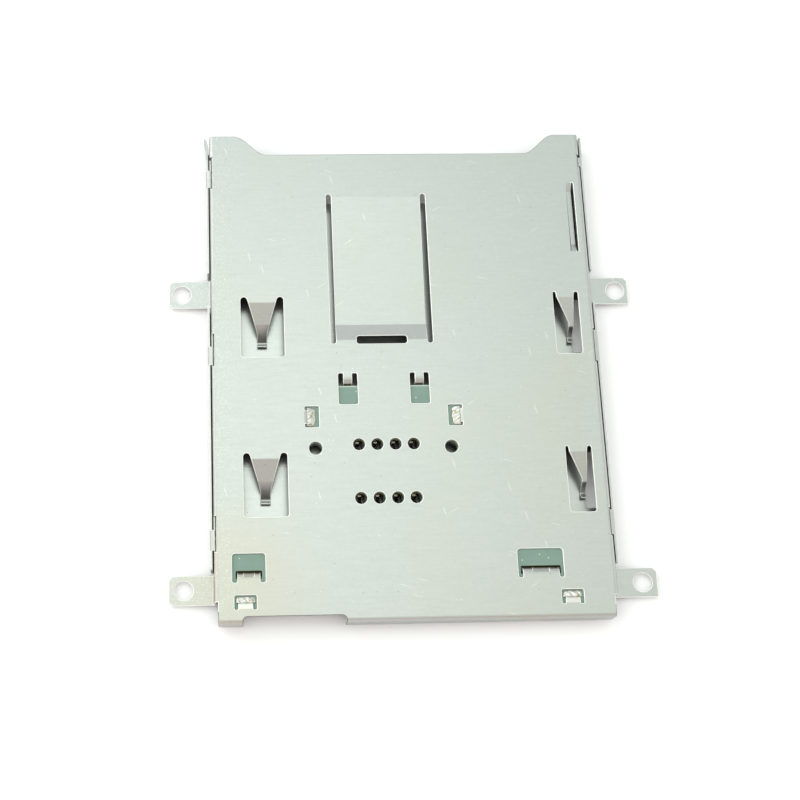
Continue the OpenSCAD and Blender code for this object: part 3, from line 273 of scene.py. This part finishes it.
# A cured coat of resin gives the faces soft highlights, and the routed edge is dull and yellow
board_finish, tree = new_material("soldermask_on_routed_laminate")
place = add_node(tree, "ShaderNodeTexCoord").outputs["Object"]
# Weave of the glass cloth under the mask, a faint grid in the colour. Its threads, 0.5 mm apart,
# are too fine to show, so the bands are drawn 1.26 mm apart. The bands of a Wave texture lie
# pi/10 apart at scale 1
weave = [add_node(tree, "ShaderNodeTexWave", {"Vector": place,
                  "Scale": math.pi / 10 / weave_band, "Distortion": 1.5, "Detail": 1.0},
                  bands_direction=across).outputs["Fac"] for across in "XY"]
grid = add_node(tree, "ShaderNodeMath", {0: weave[0], 1: weave[1]}, operation="ADD")
cloud = add_node(tree, "ShaderNodeTexNoise", {"Vector": place, "Scale": 1 / mask_cloud,
                 "Detail": 4.0})
tone = add_node(tree, "ShaderNodeMath", {0: grid.outputs[0], 1: weave_share,
                2: cloud.outputs["Fac"]}, operation="MULTIPLY_ADD")
mask = add_node(tree, "ShaderNodeMix", {0: tone.outputs[0], 6: srgb(mask_green),
                7: srgb(mask_dark)}, data_type="RGBA")
# Flecks of dried flux, 0.17 mm across, in about one cell in six of a 1.2 mm pattern
cells = add_node(tree, "ShaderNodeTexVoronoi", {"Vector": place, "Scale": 1 / fleck_apart},
                 voronoi_dimensions="2D")
lot = add_node(tree, "ShaderNodeSeparateXYZ", {0: cells.outputs["Color"]})
fleck = all_of(tree, (cells.outputs["Distance"], "LESS_THAN", fleck_r / fleck_apart),
               (lot.outputs["X"], "LESS_THAN", fleck_share))
flecked = add_node(tree, "ShaderNodeMix", {0: fleck, 6: mask.outputs[2], 7: srgb(flux_pale)},
                   data_type="RGBA")
# The mask stops short of the front edge and leaves the pale laminate bare there
along = add_node(tree, "ShaderNodeSeparateXYZ", {0: place})
bare = add_node(tree, "ShaderNodeMath", {0: along.outputs["Y"],
                1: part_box("circuit_board")[1][1] - bare_w}, operation="GREATER_THAN")
masked = add_node(tree, "ShaderNodeMix", {0: bare.outputs[0], 6: flecked.outputs[2],
                  7: srgb(bare_laminate)}, data_type="RGBA")
on_edge = add_node(tree, "ShaderNodeMath", {0: levelness(tree), 1: edge_tilt},
                   operation="LESS_THAN")
base = add_node(tree, "ShaderNodeMix", {0: on_edge.outputs[0], 6: masked.outputs[2],
                7: srgb(laminate)}, data_type="RGBA")
grain = add_node(tree, "ShaderNodeTexNoise", {"Vector": place, "Scale": 1 / mask_grain,
                 "Detail": 4.0})
bump = add_node(tree, "ShaderNodeBump", {"Height": grain.outputs["Fac"], "Strength": 0.12,
                "Distance": 0.02 * mm})
board = add_node(tree, "ShaderNodeBsdfPrincipled",
                 {"Base Color": base.outputs[2], "Roughness": 0.36, "IOR": 1.5,
                  "Normal": bump.outputs["Normal"]})
add_node(tree, "ShaderNodeOutputMaterial", {"Surface": board.outputs["BSDF"]})


def dress(node, finish, round_by=0.0, segments=1, rim=None):
    """Gives a CAD node a finish and, where asked, small round edges of that width: its loose
    triangles are welded, flat ones are joined to whole faces, and the edges between the faces
    are bevelled. The bevels take the finish rim where one is given, and short edges are closed
    first, because they would bend it."""
    piece = nodes[node]
    piece.data.materials.clear()
    piece.data.materials.append(finish)
    if round_by:
        weld = piece.modifiers.new("weld", "WELD")
        weld.merge_threshold = same_rim_point if rim else same_point
        faces = piece.modifiers.new("whole_faces", "DECIMATE")
        faces.decimate_type = "DISSOLVE"
        faces.angle_limit = flat_within
        if rim:
            short = piece.modifiers.new("short_edges", "WELD")
            short.merge_threshold = short_edge
        edges = piece.modifiers.new("round_edges", "BEVEL")
        edges.width = round_by
        edges.segments = segments
        edges.limit_method = "ANGLE"
        edges.angle_limit = sharp_from
        edges.use_clamp_overlap = False
        edges.loop_slide = False
        if rim:
            piece.data.materials.append(rim)
            edges.material = 1


dress("circuit_board", board_finish)

# Contact housing and card switch: glass-filled black plastic, injection moulded, with a fine
# matt grain. Two assembly holes run on through the board.
moulded_black = "17181A"
moulded_grey = "2A2C2F"
flow_l, flow_w = 1 * mm, mm / 6
mould_grain = mm / 14
mould_round = 0.03 * mm

# The filler leaves faint grey streaks along the flow, and the grain spreads the highlights
black_finish, tree = new_material("moulded_black_lcp")
place = add_node(tree, "ShaderNodeTexCoord").outputs["Object"]
flow = add_node(tree, "ShaderNodeMapping", {"Vector": place,
                "Scale": (1 / flow_l, 1 / flow_w, 1 / flow_w)})
streaks = add_node(tree, "ShaderNodeTexNoise", {"Vector": flow.outputs[0], "Scale": 1.0,
                   "Detail": 4.0})
base = add_node(tree, "ShaderNodeMix", {0: streaks.outputs["Fac"], 6: srgb(moulded_black),
                7: srgb(moulded_grey)}, data_type="RGBA")
grain = add_node(tree, "ShaderNodeTexNoise", {"Vector": place, "Scale": 1 / mould_grain,
                 "Detail": 2.0})
bump = add_node(tree, "ShaderNodeBump", {"Height": grain.outputs["Fac"], "Strength": 0.25,
                "Distance": 0.01 * mm})
plastic = add_node(tree, "ShaderNodeBsdfPrincipled",
                   {"Base Color": base.outputs[2], "Roughness": 0.42, "IOR": 1.6,
                    "Normal": bump.outputs["Normal"]})
add_node(tree, "ShaderNodeOutputMaterial", {"Surface": plastic.outputs["BSDF"]})
for name in ("contact_housing", "switch_housing"):
    dress(name, black_finish, mould_round)

# Contact springs, switch leaves and cable contacts: strip of copper alloy, stamped and folded,
# nickel-plated all over and gold-plated at the crown that touches the card.
gold = "E2BE72"
nickel = "C9C6BC"
all_gold, all_nickel = 0.75 * mm, 0.85 * mm
strip_line_l, strip_line_w = 1 * mm, 0.05 * mm

# Bright metal, yellow below and silver above. Its lines along the strip are too fine to show
# one by one and make the shine uneven
spring_finish, tree = new_material("gold_flash_over_nickel_strip")
place = add_node(tree, "ShaderNodeTexCoord").outputs["Object"]
height = add_node(tree, "ShaderNodeSeparateXYZ", {0: place})
plated = add_node(tree, "ShaderNodeMapRange", {"Value": height.outputs["Z"],
                  "From Min": all_gold, "From Max": all_nickel, "To Min": 1.0, "To Max": 0.0})
base = add_node(tree, "ShaderNodeMix", {0: plated.outputs[0], 6: srgb(nickel), 7: srgb(gold)},
                data_type="RGBA")
rolled = add_node(tree, "ShaderNodeMapping", {"Vector": place,
                  "Scale": (1 / strip_line_w, 1 / strip_line_l, 1 / strip_line_w)})
lines = add_node(tree, "ShaderNodeTexNoise", {"Vector": rolled.outputs[0], "Scale": 1.0,
                 "Detail": 3.0})
rough = add_node(tree, "ShaderNodeMapRange", {"Value": lines.outputs["Fac"], "To Min": 0.18,
                 "To Max": 0.36})
metal = add_node(tree, "ShaderNodeBsdfPrincipled",
                 {"Base Color": base.outputs[2], "Metallic": 1.0, "Roughness": rough.outputs[0]})
add_node(tree, "ShaderNodeOutputMaterial", {"Surface": metal.outputs["BSDF"]})
for name in nodes:
    if name.startswith(("contact_spring_", "switch_moving", "switch_fixed", "cable_contact_")):
        dress(name, spring_finish)

# Flat cable connector: an ivory housing of glass-filled nylon with a dark brown flip latch, both
# injection moulded. Two tinned nails hold it on the board.
ivory = "D9D2BC"
ivory_shade = "C4BCA3"
latch_brown = "2E2621"
latch_sheen = "3F352E"
tin = "C8C8C4"
tin_shade = "AFAFAB"
nylon_cloud = 1.667 * mm
nylon_grain = mm / 12
tin_cloud = 0.3 * mm
nail_round = 0.02 * mm


def moulded(name, light, dark, rough):
    """Injection-moulded plastic: two near tones in slow clouds under a fine grain, which makes
    it look soft and matt."""
    made, tree = new_material(name)
    place = add_node(tree, "ShaderNodeTexCoord").outputs["Object"]
    cloud = add_node(tree, "ShaderNodeTexNoise", {"Vector": place, "Scale": 1 / nylon_cloud,
                     "Detail": 4.0})
    base = add_node(tree, "ShaderNodeMix", {0: cloud.outputs["Fac"], 6: srgb(light),
                    7: srgb(dark)}, data_type="RGBA")
    grain = add_node(tree, "ShaderNodeTexNoise", {"Vector": place, "Scale": 1 / nylon_grain,
                     "Detail": 2.0})
    bump = add_node(tree, "ShaderNodeBump", {"Height": grain.outputs["Fac"], "Strength": 0.2,
                    "Distance": 0.01 * mm})
    plastic = add_node(tree, "ShaderNodeBsdfPrincipled",
                       {"Base Color": base.outputs[2], "Roughness": rough, "IOR": 1.53,
                        "Normal": bump.outputs["Normal"]})
    add_node(tree, "ShaderNodeOutputMaterial", {"Surface": plastic.outputs["BSDF"]})
    return made


def bright_metal(name, light, dark, rough_low, rough_high, cloud_size):
    """Plated metal whose tone and roughness drift in soft clouds, so its shine is uneven."""
    made, tree = new_material(name)
    place = add_node(tree, "ShaderNodeTexCoord").outputs["Object"]
    cloud = add_node(tree, "ShaderNodeTexNoise", {"Vector": place, "Scale": 1 / cloud_size,
                     "Detail": 5.0})
    base = add_node(tree, "ShaderNodeMix", {0: cloud.outputs["Fac"], 6: srgb(light),
                    7: srgb(dark)}, data_type="RGBA")
    rough = add_node(tree, "ShaderNodeMapRange", {"Value": cloud.outputs["Fac"],
                     "To Min": rough_low, "To Max": rough_high})
    bump = add_node(tree, "ShaderNodeBump", {"Height": cloud.outputs["Fac"], "Strength": 0.3,
                    "Distance": 0.01 * mm})
    metal = add_node(tree, "ShaderNodeBsdfPrincipled",
                     {"Base Color": base.outputs[2], "Metallic": 1.0,
                      "Roughness": rough.outputs[0], "Normal": bump.outputs["Normal"]})
    add_node(tree, "ShaderNodeOutputMaterial", {"Surface": metal.outputs["BSDF"]})
    return made


dress("cable_connector", moulded("moulded_ivory_nylon", ivory, ivory_shade, rough=0.45),
      mould_round)
dress("cable_latch", moulded("moulded_brown_nylon", latch_brown, latch_sheen, rough=0.4),
      mould_round)
tinned_finish = bright_metal("matte_tinned_strip", tin, tin_shade, rough_low=0.3,
                             rough_high=0.5, cloud_size=tin_cloud)
for name in ("cable_nail_left", "cable_nail_right"):
    dress(name, tinned_finish, nail_round)

# Controller chip, crystal, capacitors and resistors, soldered under the board's rear strip.
# Moulded resin, a seam-welded metal lid, and fired ceramic with tinned ends.
resin_black = "1B1B1D"
resin_grey = "242426"
lid_light = "CFC9B4"
lid_shade = "B4AE9A"
lid_cloud = 0.4 * mm
lid_round = 0.05 * mm
capacitor_tan = "B08A62"
resistor_black = "26272A"
fired_shade = 0.7
fired_grain = 0.125 * mm
ceramic_share = 0.56
ceramic_round = 0.02 * mm

dress("controller_chip", moulded("moulded_black_resin", resin_black, resin_grey, rough=0.5),
      mould_round)
dress("crystal", bright_metal("seam_welded_lid", lid_light, lid_shade, rough_low=0.2,
                              rough_high=0.4, cloud_size=lid_cloud), lid_round)


def ceramic_part(name, body, centre_x, half_body):
    """Fired ceramic between two tinned ends: metal where X is further from the centre than the
    body's half length. The body is speckled, and the ends shine."""
    made, tree = new_material(name)
    place = add_node(tree, "ShaderNodeTexCoord").outputs["Object"]
    split = add_node(tree, "ShaderNodeSeparateXYZ", {0: place})
    off = add_node(tree, "ShaderNodeMath", {0: split.outputs["X"], 1: centre_x},
                   operation="SUBTRACT")
    out = add_node(tree, "ShaderNodeMath", {0: off.outputs[0]}, operation="ABSOLUTE")
    end = add_node(tree, "ShaderNodeMath", {0: out.outputs[0], 1: half_body},
                   operation="GREATER_THAN").outputs[0]
    speckle = add_node(tree, "ShaderNodeTexNoise", {"Vector": place, "Scale": 1 / fired_grain,
                       "Detail": 3.0})
    fired = add_node(tree, "ShaderNodeMix", {0: speckle.outputs["Fac"], 6: srgb(body),
                     7: tone_of((body, fired_shade))}, data_type="RGBA")
    base = add_node(tree, "ShaderNodeMix", {0: end, 6: fired.outputs[2], 7: srgb(tin)},
                    data_type="RGBA")
    part = add_node(tree, "ShaderNodeBsdfPrincipled",
                    {"Base Color": base.outputs[2], "Metallic": end, "Roughness": 0.35})
    add_node(tree, "ShaderNodeOutputMaterial", {"Surface": part.outputs["BSDF"]})
    return made


for name in nodes:
    if name.startswith(("capacitor_", "resistor_")):
        low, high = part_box(name)
        body = capacitor_tan if name.startswith("capacitor_") else resistor_black
        dress(name, ceramic_part(name + "_ceramic", body, (low[0] + high[0]) / 2,
                                 ceramic_share / 2 * (high[0] - low[0])), ceramic_round)

# Solder joints: tin solder that filled the gap between the board and the cover's four tabs and
# froze with a bright, lumpy skin. A little yellow flux has stayed on it.
solder_light = "E6E6E2"
solder_dark = "8E897B"
flux_yellow = "998860"
skin_cloud = mm / 3
flux_drop = 0.625 * mm
board_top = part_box("circuit_board")[1][2]
pool_h = 0.22 * mm
pool_rows, arch_points, foot_points = 56, 14, 6
tab_overlap = 0.2 * mm

# The frozen skin is a rough mirror with grey and white patches, and the flux is a dull yellow
solder_finish, tree = new_material("reflowed_tin_solder")
place = add_node(tree, "ShaderNodeTexCoord").outputs["Object"]
cloud = add_node(tree, "ShaderNodeTexNoise", {"Vector": place, "Scale": 1 / skin_cloud,
                 "Detail": 5.0})
skin = add_node(tree, "ShaderNodeMix", {0: cloud.outputs["Fac"], 6: srgb(solder_light),
                7: srgb(solder_dark)}, data_type="RGBA")
# Flux lies where its noise is high, and its border is soft
drops = add_node(tree, "ShaderNodeTexNoise", {"Vector": place, "Scale": 1 / flux_drop,
                 "Detail": 4.0})
fluxed = add_node(tree, "ShaderNodeMapRange", {"Value": drops.outputs["Fac"], "From Min": 0.55,
                  "From Max": 0.65, "To Max": 0.8})
base = add_node(tree, "ShaderNodeMix", {0: fluxed.outputs[0], 6: skin.outputs[2],
                7: srgb(flux_yellow)}, data_type="RGBA")
bump = add_node(tree, "ShaderNodeBump", {"Height": cloud.outputs["Fac"], "Strength": 0.35,
                "Distance": 0.02 * mm})
metal = add_node(tree, "ShaderNodeBsdfPrincipled",
                 {"Base Color": base.outputs[2], "Metallic": 0.85, "Roughness": 0.24,
                  "Normal": bump.outputs["Normal"]})
add_node(tree, "ShaderNodeOutputMaterial", {"Surface": metal.outputs["BSDF"]})


def solder_pool(node, middle, length, width, away, phase):
    """A pool along a tab. Its cross-section is a quarter ellipse on a flat base, high at the tab
    and thin at its far border. The section shrinks towards both ends as a sixth-power curve and
    swells and sinks along the length as two sine waves, and a third wave makes its skin lumpy.
    It stops just short of its tips, and a flat face closes each end."""
    along = np.array((away[1], -away[0], 0.0))
    u = np.linspace(-0.995, 0.995, pool_rows)[:, None]
    v = np.concatenate((np.linspace(0, 1, arch_points),
                        np.linspace(1, 0, foot_points)[1:-1]))[None, :]
    arch = np.where(np.arange(v.shape[1]) < arch_points, np.sqrt(np.clip(1 - v ** 2, 0, 1)), 0.0)
    shrink = np.sqrt(1 - u ** 6)
    swell = 1 + 0.05 * np.sin(7 * u + phase) + 0.03 * np.sin(17 * u + 2 * phase)
    lumps = 1 + 0.14 * np.sin(9 * u + 5 * v + phase)
    points = (np.array(middle)[None, None, :]
              + (u * length / 2 + 0 * v)[..., None] * along
              + (v * shrink * swell * width)[..., None] * np.array((*away, 0.0))
              + (arch * shrink * lumps * pool_h)[..., None] * np.array((0.0, 0.0, 1.0)))
    rows, columns = points.shape[:2]
    at = np.arange(rows * columns).reshape(rows, columns)
    after = np.roll(at, -1, axis=1)
    sides = np.stack((at[:-1], at[1:], after[1:], after[:-1]), axis=-1).reshape(-1, 4).tolist()
    mesh = bpy.data.meshes.new(node + "_pool")
    mesh.from_pydata(points.reshape(-1, 3).tolist(), [],
                     sides + [at[0].tolist(), at[-1][::-1].tolist()])
    mesh.polygons.foreach_set("use_smooth", [True] * len(mesh.polygons))
    mesh.materials.append(solder_finish)
    pool = bpy.data.objects.new(node + "_pool", mesh)
    bpy.context.scene.collection.objects.link(pool)
    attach(pool, "reader")
    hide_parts(node)


# Each joint: the way it spreads from its tab, its length and width, and its waves' phase
for node, away, length, width, phase in (
        ("solder_mid_left", (1, 0), 2.85 * mm, 1.2 * mm, 0.4),
        ("solder_mid_right", (-1, 0), 2.85 * mm, 1.2 * mm, 2.1),
        ("solder_rear_left", (0, 1), 2.7 * mm, 0.9 * mm, 1.2),
        ("solder_rear_right", (0, 1), 2.7 * mm, 0.9 * mm, 3.3)):
    low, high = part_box(node)
    middle = [(low[i] + high[i]) / 2 for i in (0, 1)] + [board_top]
    # The pool starts a little over the fold of its tab
    for i in (0, 1):
        if away[i]:
            middle[i] = (low[i] if away[i] > 0 else high[i]) - away[i] * tab_overlap
    solder_pool(node, middle, length, width, away, phase)

# Cover and tray: cold-rolled steel sheet with a thin matt coat of tin, blanked and folded. The
# rolling left fine lines across the card's path, the blanking a burnished rim on every edge, drawn
# near-white as partly a painted highlight, and handling left specks, stains and thin scratches.
sheet_light = "B4B6B3"
sheet_dark = "ADB0AC"
rolled_l, rolled_w = 2.5 * mm, 0.2 * mm
plating_cloud = 0.625 * mm
stain_yellow = "B5B29E"
stain_size = 14.29 * mm
stain_most = 0.3
flux_film = "B4B0A2"
flux_corner = (cad_box[0][0] + 8 * mm, cad_box[0][1] + 5 * mm, cad_box[1][2])
flux_near, flux_far, flux_most = 3 * mm, 15 * mm, 0.6
dirt_grey = "868A86"
# Specks: size, distance between cells, and share of the cells that have one
dirt_specks = (0.15 * mm, 2.0 * mm, 0.07)
bare_specks = (0.13 * mm, 1.5 * mm, 0.12)
worn_specks = (0.13 * mm, 0.35 * mm, 0.45)
bare_offset = (0.7 * mm, 0.3 * mm, 0)
worn_edge = cad_box[0][0] + 7.0 * mm
worn_w = 4.5 * mm
worn_most = 0.9
# Scratches: turn of their pattern in degrees, made after its stretch, the size of its cells
# along X and Y before it, and the share of the cells that have one. A real one is thinner than
# the render can show, so they fade over 0.05 to 0.08 mm to each side
scratch_sets = ((17, 2.2 * mm, 1.9 * mm, 0.02), (-38, 2.8 * mm, 2.3 * mm, 0.02),
                (80, 3.4 * mm, 2.1 * mm, 0.04))
scratch_side = 0.05 * mm
mark_strength = 0.35
solder_film = "CBCAC2"
crept_up, crept_in = 1.0 * mm, 0.2 * mm
# Near-white: bare worn metal in the marks, and a painted highlight on the rims and hole walls
worn_and_highlight_white = "FAFBF8"
rim_shade = "DADCD6"
painted_shade_grey = "686B6A"
nick_size = 0.6667 * mm
torn_metallic = 0.2
# Walls of the punched holes: the Z of their normal is below the first value, and they lie
# within this half width, in front of this line and above this height
wall_tilt = 0.4
punched_half = cad_box[1][0] - 7.5 * mm
punched_rear = cad_box[0][1] + 1.6 * mm
punched_low = cad_box[1][2] - 0.3 * mm
mouth_line = cad_box[1][1] - 3.5 * mm
cover_rim_w, tray_rim_w = 0.085 * mm, 0.03 * mm
cover_rough, tray_rough, streak = 0.36, 0.31, 0.03
cover_wear, tray_wear = 1.0, 0.4


def scratches(tree, place, angle, length, apart, share):
    """Straight scratches: in each cell of a pattern that is stretched and then turned, a thin
    line lies through the cell's own point and fades out between 0.15 and 0.4 of the cell's
    length from it, and only a share of the cells keeps its line."""
    turned = add_node(tree, "ShaderNodeMapping", {"Vector": place,
                      "Rotation": (0, 0, math.radians(angle)),
                      "Scale": (1 / length, 1 / apart, 0)})
    cells = add_node(tree, "ShaderNodeTexVoronoi", {"Vector": turned.outputs[0], "Scale": 1.0},
                     voronoi_dimensions="2D")
    offset = add_node(tree, "ShaderNodeVectorMath", {0: turned.outputs[0],
                      1: cells.outputs["Position"]}, operation="SUBTRACT")
    split = add_node(tree, "ShaderNodeSeparateXYZ", {0: add_node(
        tree, "ShaderNodeVectorMath", {0: offset.outputs[0]}, operation="ABSOLUTE").outputs[0]})
    thin = add_node(tree, "ShaderNodeMapRange", {"Value": split.outputs["Y"],
                    "From Max": scratch_side / apart, "To Min": 1.0, "To Max": 0.0})
    fade = add_node(tree, "ShaderNodeMapRange", {"Value": split.outputs["X"],
                    "From Min": 0.15, "From Max": 0.4, "To Min": 1.0, "To Max": 0.0})
    line = add_node(tree, "ShaderNodeMath", {0: thin.outputs[0], 1: fade.outputs[0]},
                    operation="MULTIPLY")
    lot = add_node(tree, "ShaderNodeSeparateXYZ", {0: cells.outputs["Color"]})
    kept = add_node(tree, "ShaderNodeMath", {0: lot.outputs["X"], 1: share},
                    operation="LESS_THAN")
    return add_node(tree, "ShaderNodeMath", {0: line.outputs[0], 1: kept.outputs[0]},
                    operation="MULTIPLY").outputs[0]


def specks(tree, place, size, apart, share):
    """Round specks of a size: one in each cell of a pattern, kept in a share of the cells, full
    to 0.3 of its size from its middle and fading out at 0.6."""
    cells = add_node(tree, "ShaderNodeTexVoronoi", {"Vector": place, "Scale": 1 / apart},
                     voronoi_dimensions="2D")
    near = add_node(tree, "ShaderNodeMapRange", {"Value": cells.outputs["Distance"],
                    "From Min": 0.3 * size / apart, "From Max": 0.6 * size / apart,
                    "To Min": 1.0, "To Max": 0.0})
    lot = add_node(tree, "ShaderNodeSeparateXYZ", {0: cells.outputs["Color"]})
    kept = add_node(tree, "ShaderNodeMath", {0: lot.outputs["Y"], 1: share},
                    operation="LESS_THAN")
    return add_node(tree, "ShaderNodeMath", {0: near.outputs[0], 1: kept.outputs[0]},
                    operation="MULTIPLY").outputs[0]


def tinned_sheet(name, rough, wear, wetted=()):
    """Tinned sheet: a dull mirror with rolling lines along X, cloudy plating, stains, specks and
    scratches. The wetted patches, each two opposite corners, carry a film of solder."""
    made, tree = new_material(name)
    place = add_node(tree, "ShaderNodeTexCoord").outputs["Object"]
    spot = add_node(tree, "ShaderNodeSeparateXYZ", {0: place})
    # Real rolling lines are finer than the render can show, so they are drawn 0.2 mm wide.
    # Their sum with the clouds lies mostly between 0.7 and 1.3, and it picks the tone
    rolled = add_node(tree, "ShaderNodeMapping", {"Vector": place,
                      "Scale": (1 / rolled_l, 1 / rolled_w, 1 / rolled_w)})
    lines = add_node(tree, "ShaderNodeTexNoise", {"Vector": rolled.outputs[0], "Scale": 1.0,
                     "Detail": 5.0, "Roughness": 0.6})
    cloud = add_node(tree, "ShaderNodeTexNoise", {"Vector": place, "Scale": 1 / plating_cloud,
                     "Detail": 4.0, "Roughness": 0.7})
    mixed = add_node(tree, "ShaderNodeMath", {0: lines.outputs["Fac"], 1: cloud.outputs["Fac"]},
                     operation="ADD")
    blend = add_node(tree, "ShaderNodeMapRange", {"Value": mixed.outputs[0],
                     "From Min": 0.7, "From Max": 1.3})
    tone = add_node(tree, "ShaderNodeMix", {0: blend.outputs[0], 6: srgb(sheet_light),
                    7: srgb(sheet_dark)}, data_type="RGBA")
    # Pale yellow stains, some millimetres across
    wide = add_node(tree, "ShaderNodeTexNoise", {"Vector": place, "Scale": 1 / stain_size,
                    "Detail": 3.0})
    stain = add_node(tree, "ShaderNodeMapRange", {"Value": wide.outputs["Fac"],
                     "From Min": 0.5, "From Max": 0.8, "To Max": stain_most})
    stained = add_node(tree, "ShaderNodeMix", {0: stain.outputs[0], 6: tone.outputs[2],
                       7: srgb(stain_yellow)}, data_type="RGBA")
    # A warm film of flux has crept over the rear left corner
    reach = add_node(tree, "ShaderNodeVectorMath", {0: place, 1: flux_corner},
                     operation="DISTANCE")
    film = add_node(tree, "ShaderNodeMapRange", {"Value": reach.outputs["Value"],
                    "From Min": flux_near, "From Max": flux_far, "To Min": flux_most * wear,
                    "To Max": 0.0}, interpolation_type="SMOOTHSTEP")
    filmed = add_node(tree, "ShaderNodeMix", {0: film.outputs[0], 6: stained.outputs[2],
                      7: srgb(flux_film)}, data_type="RGBA")
    size, apart, share = dirt_specks
    dirty = add_node(tree, "ShaderNodeMix", {0: specks(tree, place, size, apart, share * wear),
                     6: filmed.outputs[2], 7: srgb(dirt_grey)}, data_type="RGBA")
    # Light marks: bare specks, a band worn along the left edge by handling, and scratches
    shifted = add_node(tree, "ShaderNodeMapping", {"Vector": place, "Location": bare_offset})
    size, apart, share = bare_specks
    bare = specks(tree, shifted.outputs[0], size, apart, share * wear)
    worn = add_node(tree, "ShaderNodeMapRange", {"Value": spot.outputs["X"],
                    "From Min": worn_edge, "From Max": worn_edge + worn_w,
                    "To Min": worn_most * wear, "To Max": 0.0})
    band = add_node(tree, "ShaderNodeMath", {0: specks(tree, place, *worn_specks),
                    1: worn.outputs[0]}, operation="MULTIPLY")
    marks = add_node(tree, "ShaderNodeMath", {0: bare, 1: band.outputs[0]},
                     operation="MAXIMUM").outputs[0]
    for angle, length, apart, share in scratch_sets:
        mark = scratches(tree, place, angle, length, apart, share * wear)
        marks = add_node(tree, "ShaderNodeMath", {0: marks, 1: mark},
                         operation="MAXIMUM").outputs[0]
    faint = add_node(tree, "ShaderNodeMath", {0: marks, 1: mark_strength}, operation="MULTIPLY")
    finish = add_node(tree, "ShaderNodeMix", {0: faint.outputs[0], 6: dirty.outputs[2],
                      7: srgb(worn_and_highlight_white)}, data_type="RGBA").outputs[2]
    # Solder has wetted the sheet inside these patches
    for low, high in wetted:
        from_middle = add_node(tree, "ShaderNodeVectorMath", {0: place, 1: (
            (low[0] + high[0]) / 2, (low[1] + high[1]) / 2, 0)}, operation="SUBTRACT")
        out = add_node(tree, "ShaderNodeSeparateXYZ", {0: add_node(
            tree, "ShaderNodeVectorMath", {0: from_middle.outputs[0]},
            operation="ABSOLUTE").outputs[0]})
        wet = all_of(tree, (out.outputs["X"], "LESS_THAN", (high[0] - low[0]) / 2),
                     (out.outputs["Y"], "LESS_THAN", (high[1] - low[1]) / 2))
        finish = add_node(tree, "ShaderNodeMix", {0: wet, 6: finish, 7: srgb(solder_film)},
                          data_type="RGBA").outputs[2]
    # Walls of the punched holes: torn metal, more scattering than the sheet's faces, and painted
    # near-white, partly a painted highlight
    off_x = add_node(tree, "ShaderNodeMath", {0: spot.outputs["X"]}, operation="ABSOLUTE")
    torn = all_of(tree, (levelness(tree), "LESS_THAN", wall_tilt),
                  (off_x.outputs[0], "LESS_THAN", punched_half),
                  (spot.outputs["Y"], "GREATER_THAN", punched_rear),
                  (spot.outputs["Z"], "GREATER_THAN", punched_low))
    finish = add_node(tree, "ShaderNodeMix", {0: torn, 6: finish, 7: srgb(worn_and_highlight_white)},
                      data_type="RGBA").outputs[2]
    metallic = add_node(tree, "ShaderNodeMapRange", {"Value": torn, "To Min": 1.0,
                        "To Max": torn_metallic})
    smooth = add_node(tree, "ShaderNodeMapRange", {"Value": lines.outputs["Fac"],
                      "To Min": rough - streak, "To Max": rough + streak})
    bump = add_node(tree, "ShaderNodeBump", {"Height": lines.outputs["Fac"], "Strength": 0.04,
                    "Distance": 0.01 * mm})
    metal = add_node(tree, "ShaderNodeBsdfPrincipled",
                     {"Base Color": finish, "Metallic": metallic.outputs[0],
                      "Roughness": smooth.outputs[0], "Normal": bump.outputs["Normal"]})
    add_node(tree, "ShaderNodeOutputMaterial", {"Surface": metal.outputs["BSDF"]})
    return made


# The rim: metal that the punch has torn and smeared, so it scatters light; it is drawn nearly
# white from every side, partly a painted highlight. Along the mouth and at the connector's notch
# the rim is grey instead, a painted shade.
rim_finish, tree = new_material("burnished_edge_painted_light")
place = add_node(tree, "ShaderNodeTexCoord").outputs["Object"]
nicks = add_node(tree, "ShaderNodeTexNoise", {"Vector": place, "Scale": 1 / nick_size,
                 "Detail": 3.0})
bright = add_node(tree, "ShaderNodeMix", {0: nicks.outputs["Fac"], 6: srgb(worn_and_highlight_white),
                  7: srgb(rim_shade)}, data_type="RGBA")
along = add_node(tree, "ShaderNodeSeparateXYZ", {0: place})
at_mouth = add_node(tree, "ShaderNodeMath", {0: along.outputs["Y"], 1: mouth_line},
                    operation="GREATER_THAN")
at_notch = add_node(tree, "ShaderNodeMath", {0: along.outputs["Y"], 1: punched_rear},
                    operation="LESS_THAN")
outer = add_node(tree, "ShaderNodeMath", {0: at_mouth.outputs[0], 1: at_notch.outputs[0]},
                 operation="MAXIMUM")
# Painted shade: the rim is grey along the mouth and at the notch
base = add_node(tree, "ShaderNodeMix", {0: outer.outputs[0], 6: bright.outputs[2],
                7: srgb(painted_shade_grey)}, data_type="RGBA")
edge = add_node(tree, "ShaderNodeBsdfPrincipled", {"Base Color": base.outputs[2],
                "Metallic": torn_metallic, "Roughness": 0.4})
add_node(tree, "ShaderNodeOutputMaterial", {"Surface": edge.outputs["BSDF"]})

# Solder has crept up the two rear tabs
solder_crept = []
for node in ("solder_rear_left", "solder_rear_right"):
    low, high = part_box(node)
    solder_crept.append(((low[0], low[1] - crept_up), (high[0], low[1] + crept_in)))
dress("cover", tinned_sheet("matte_tinned_sheet_cover", cover_rough, cover_wear, solder_crept),
      cover_rim_w, segments=2, rim=rim_finish)
dress("base_tray", tinned_sheet("matte_tinned_sheet_tray", tray_rough, tray_wear), tray_rim_w,
      segments=2, rim=rim_finish)
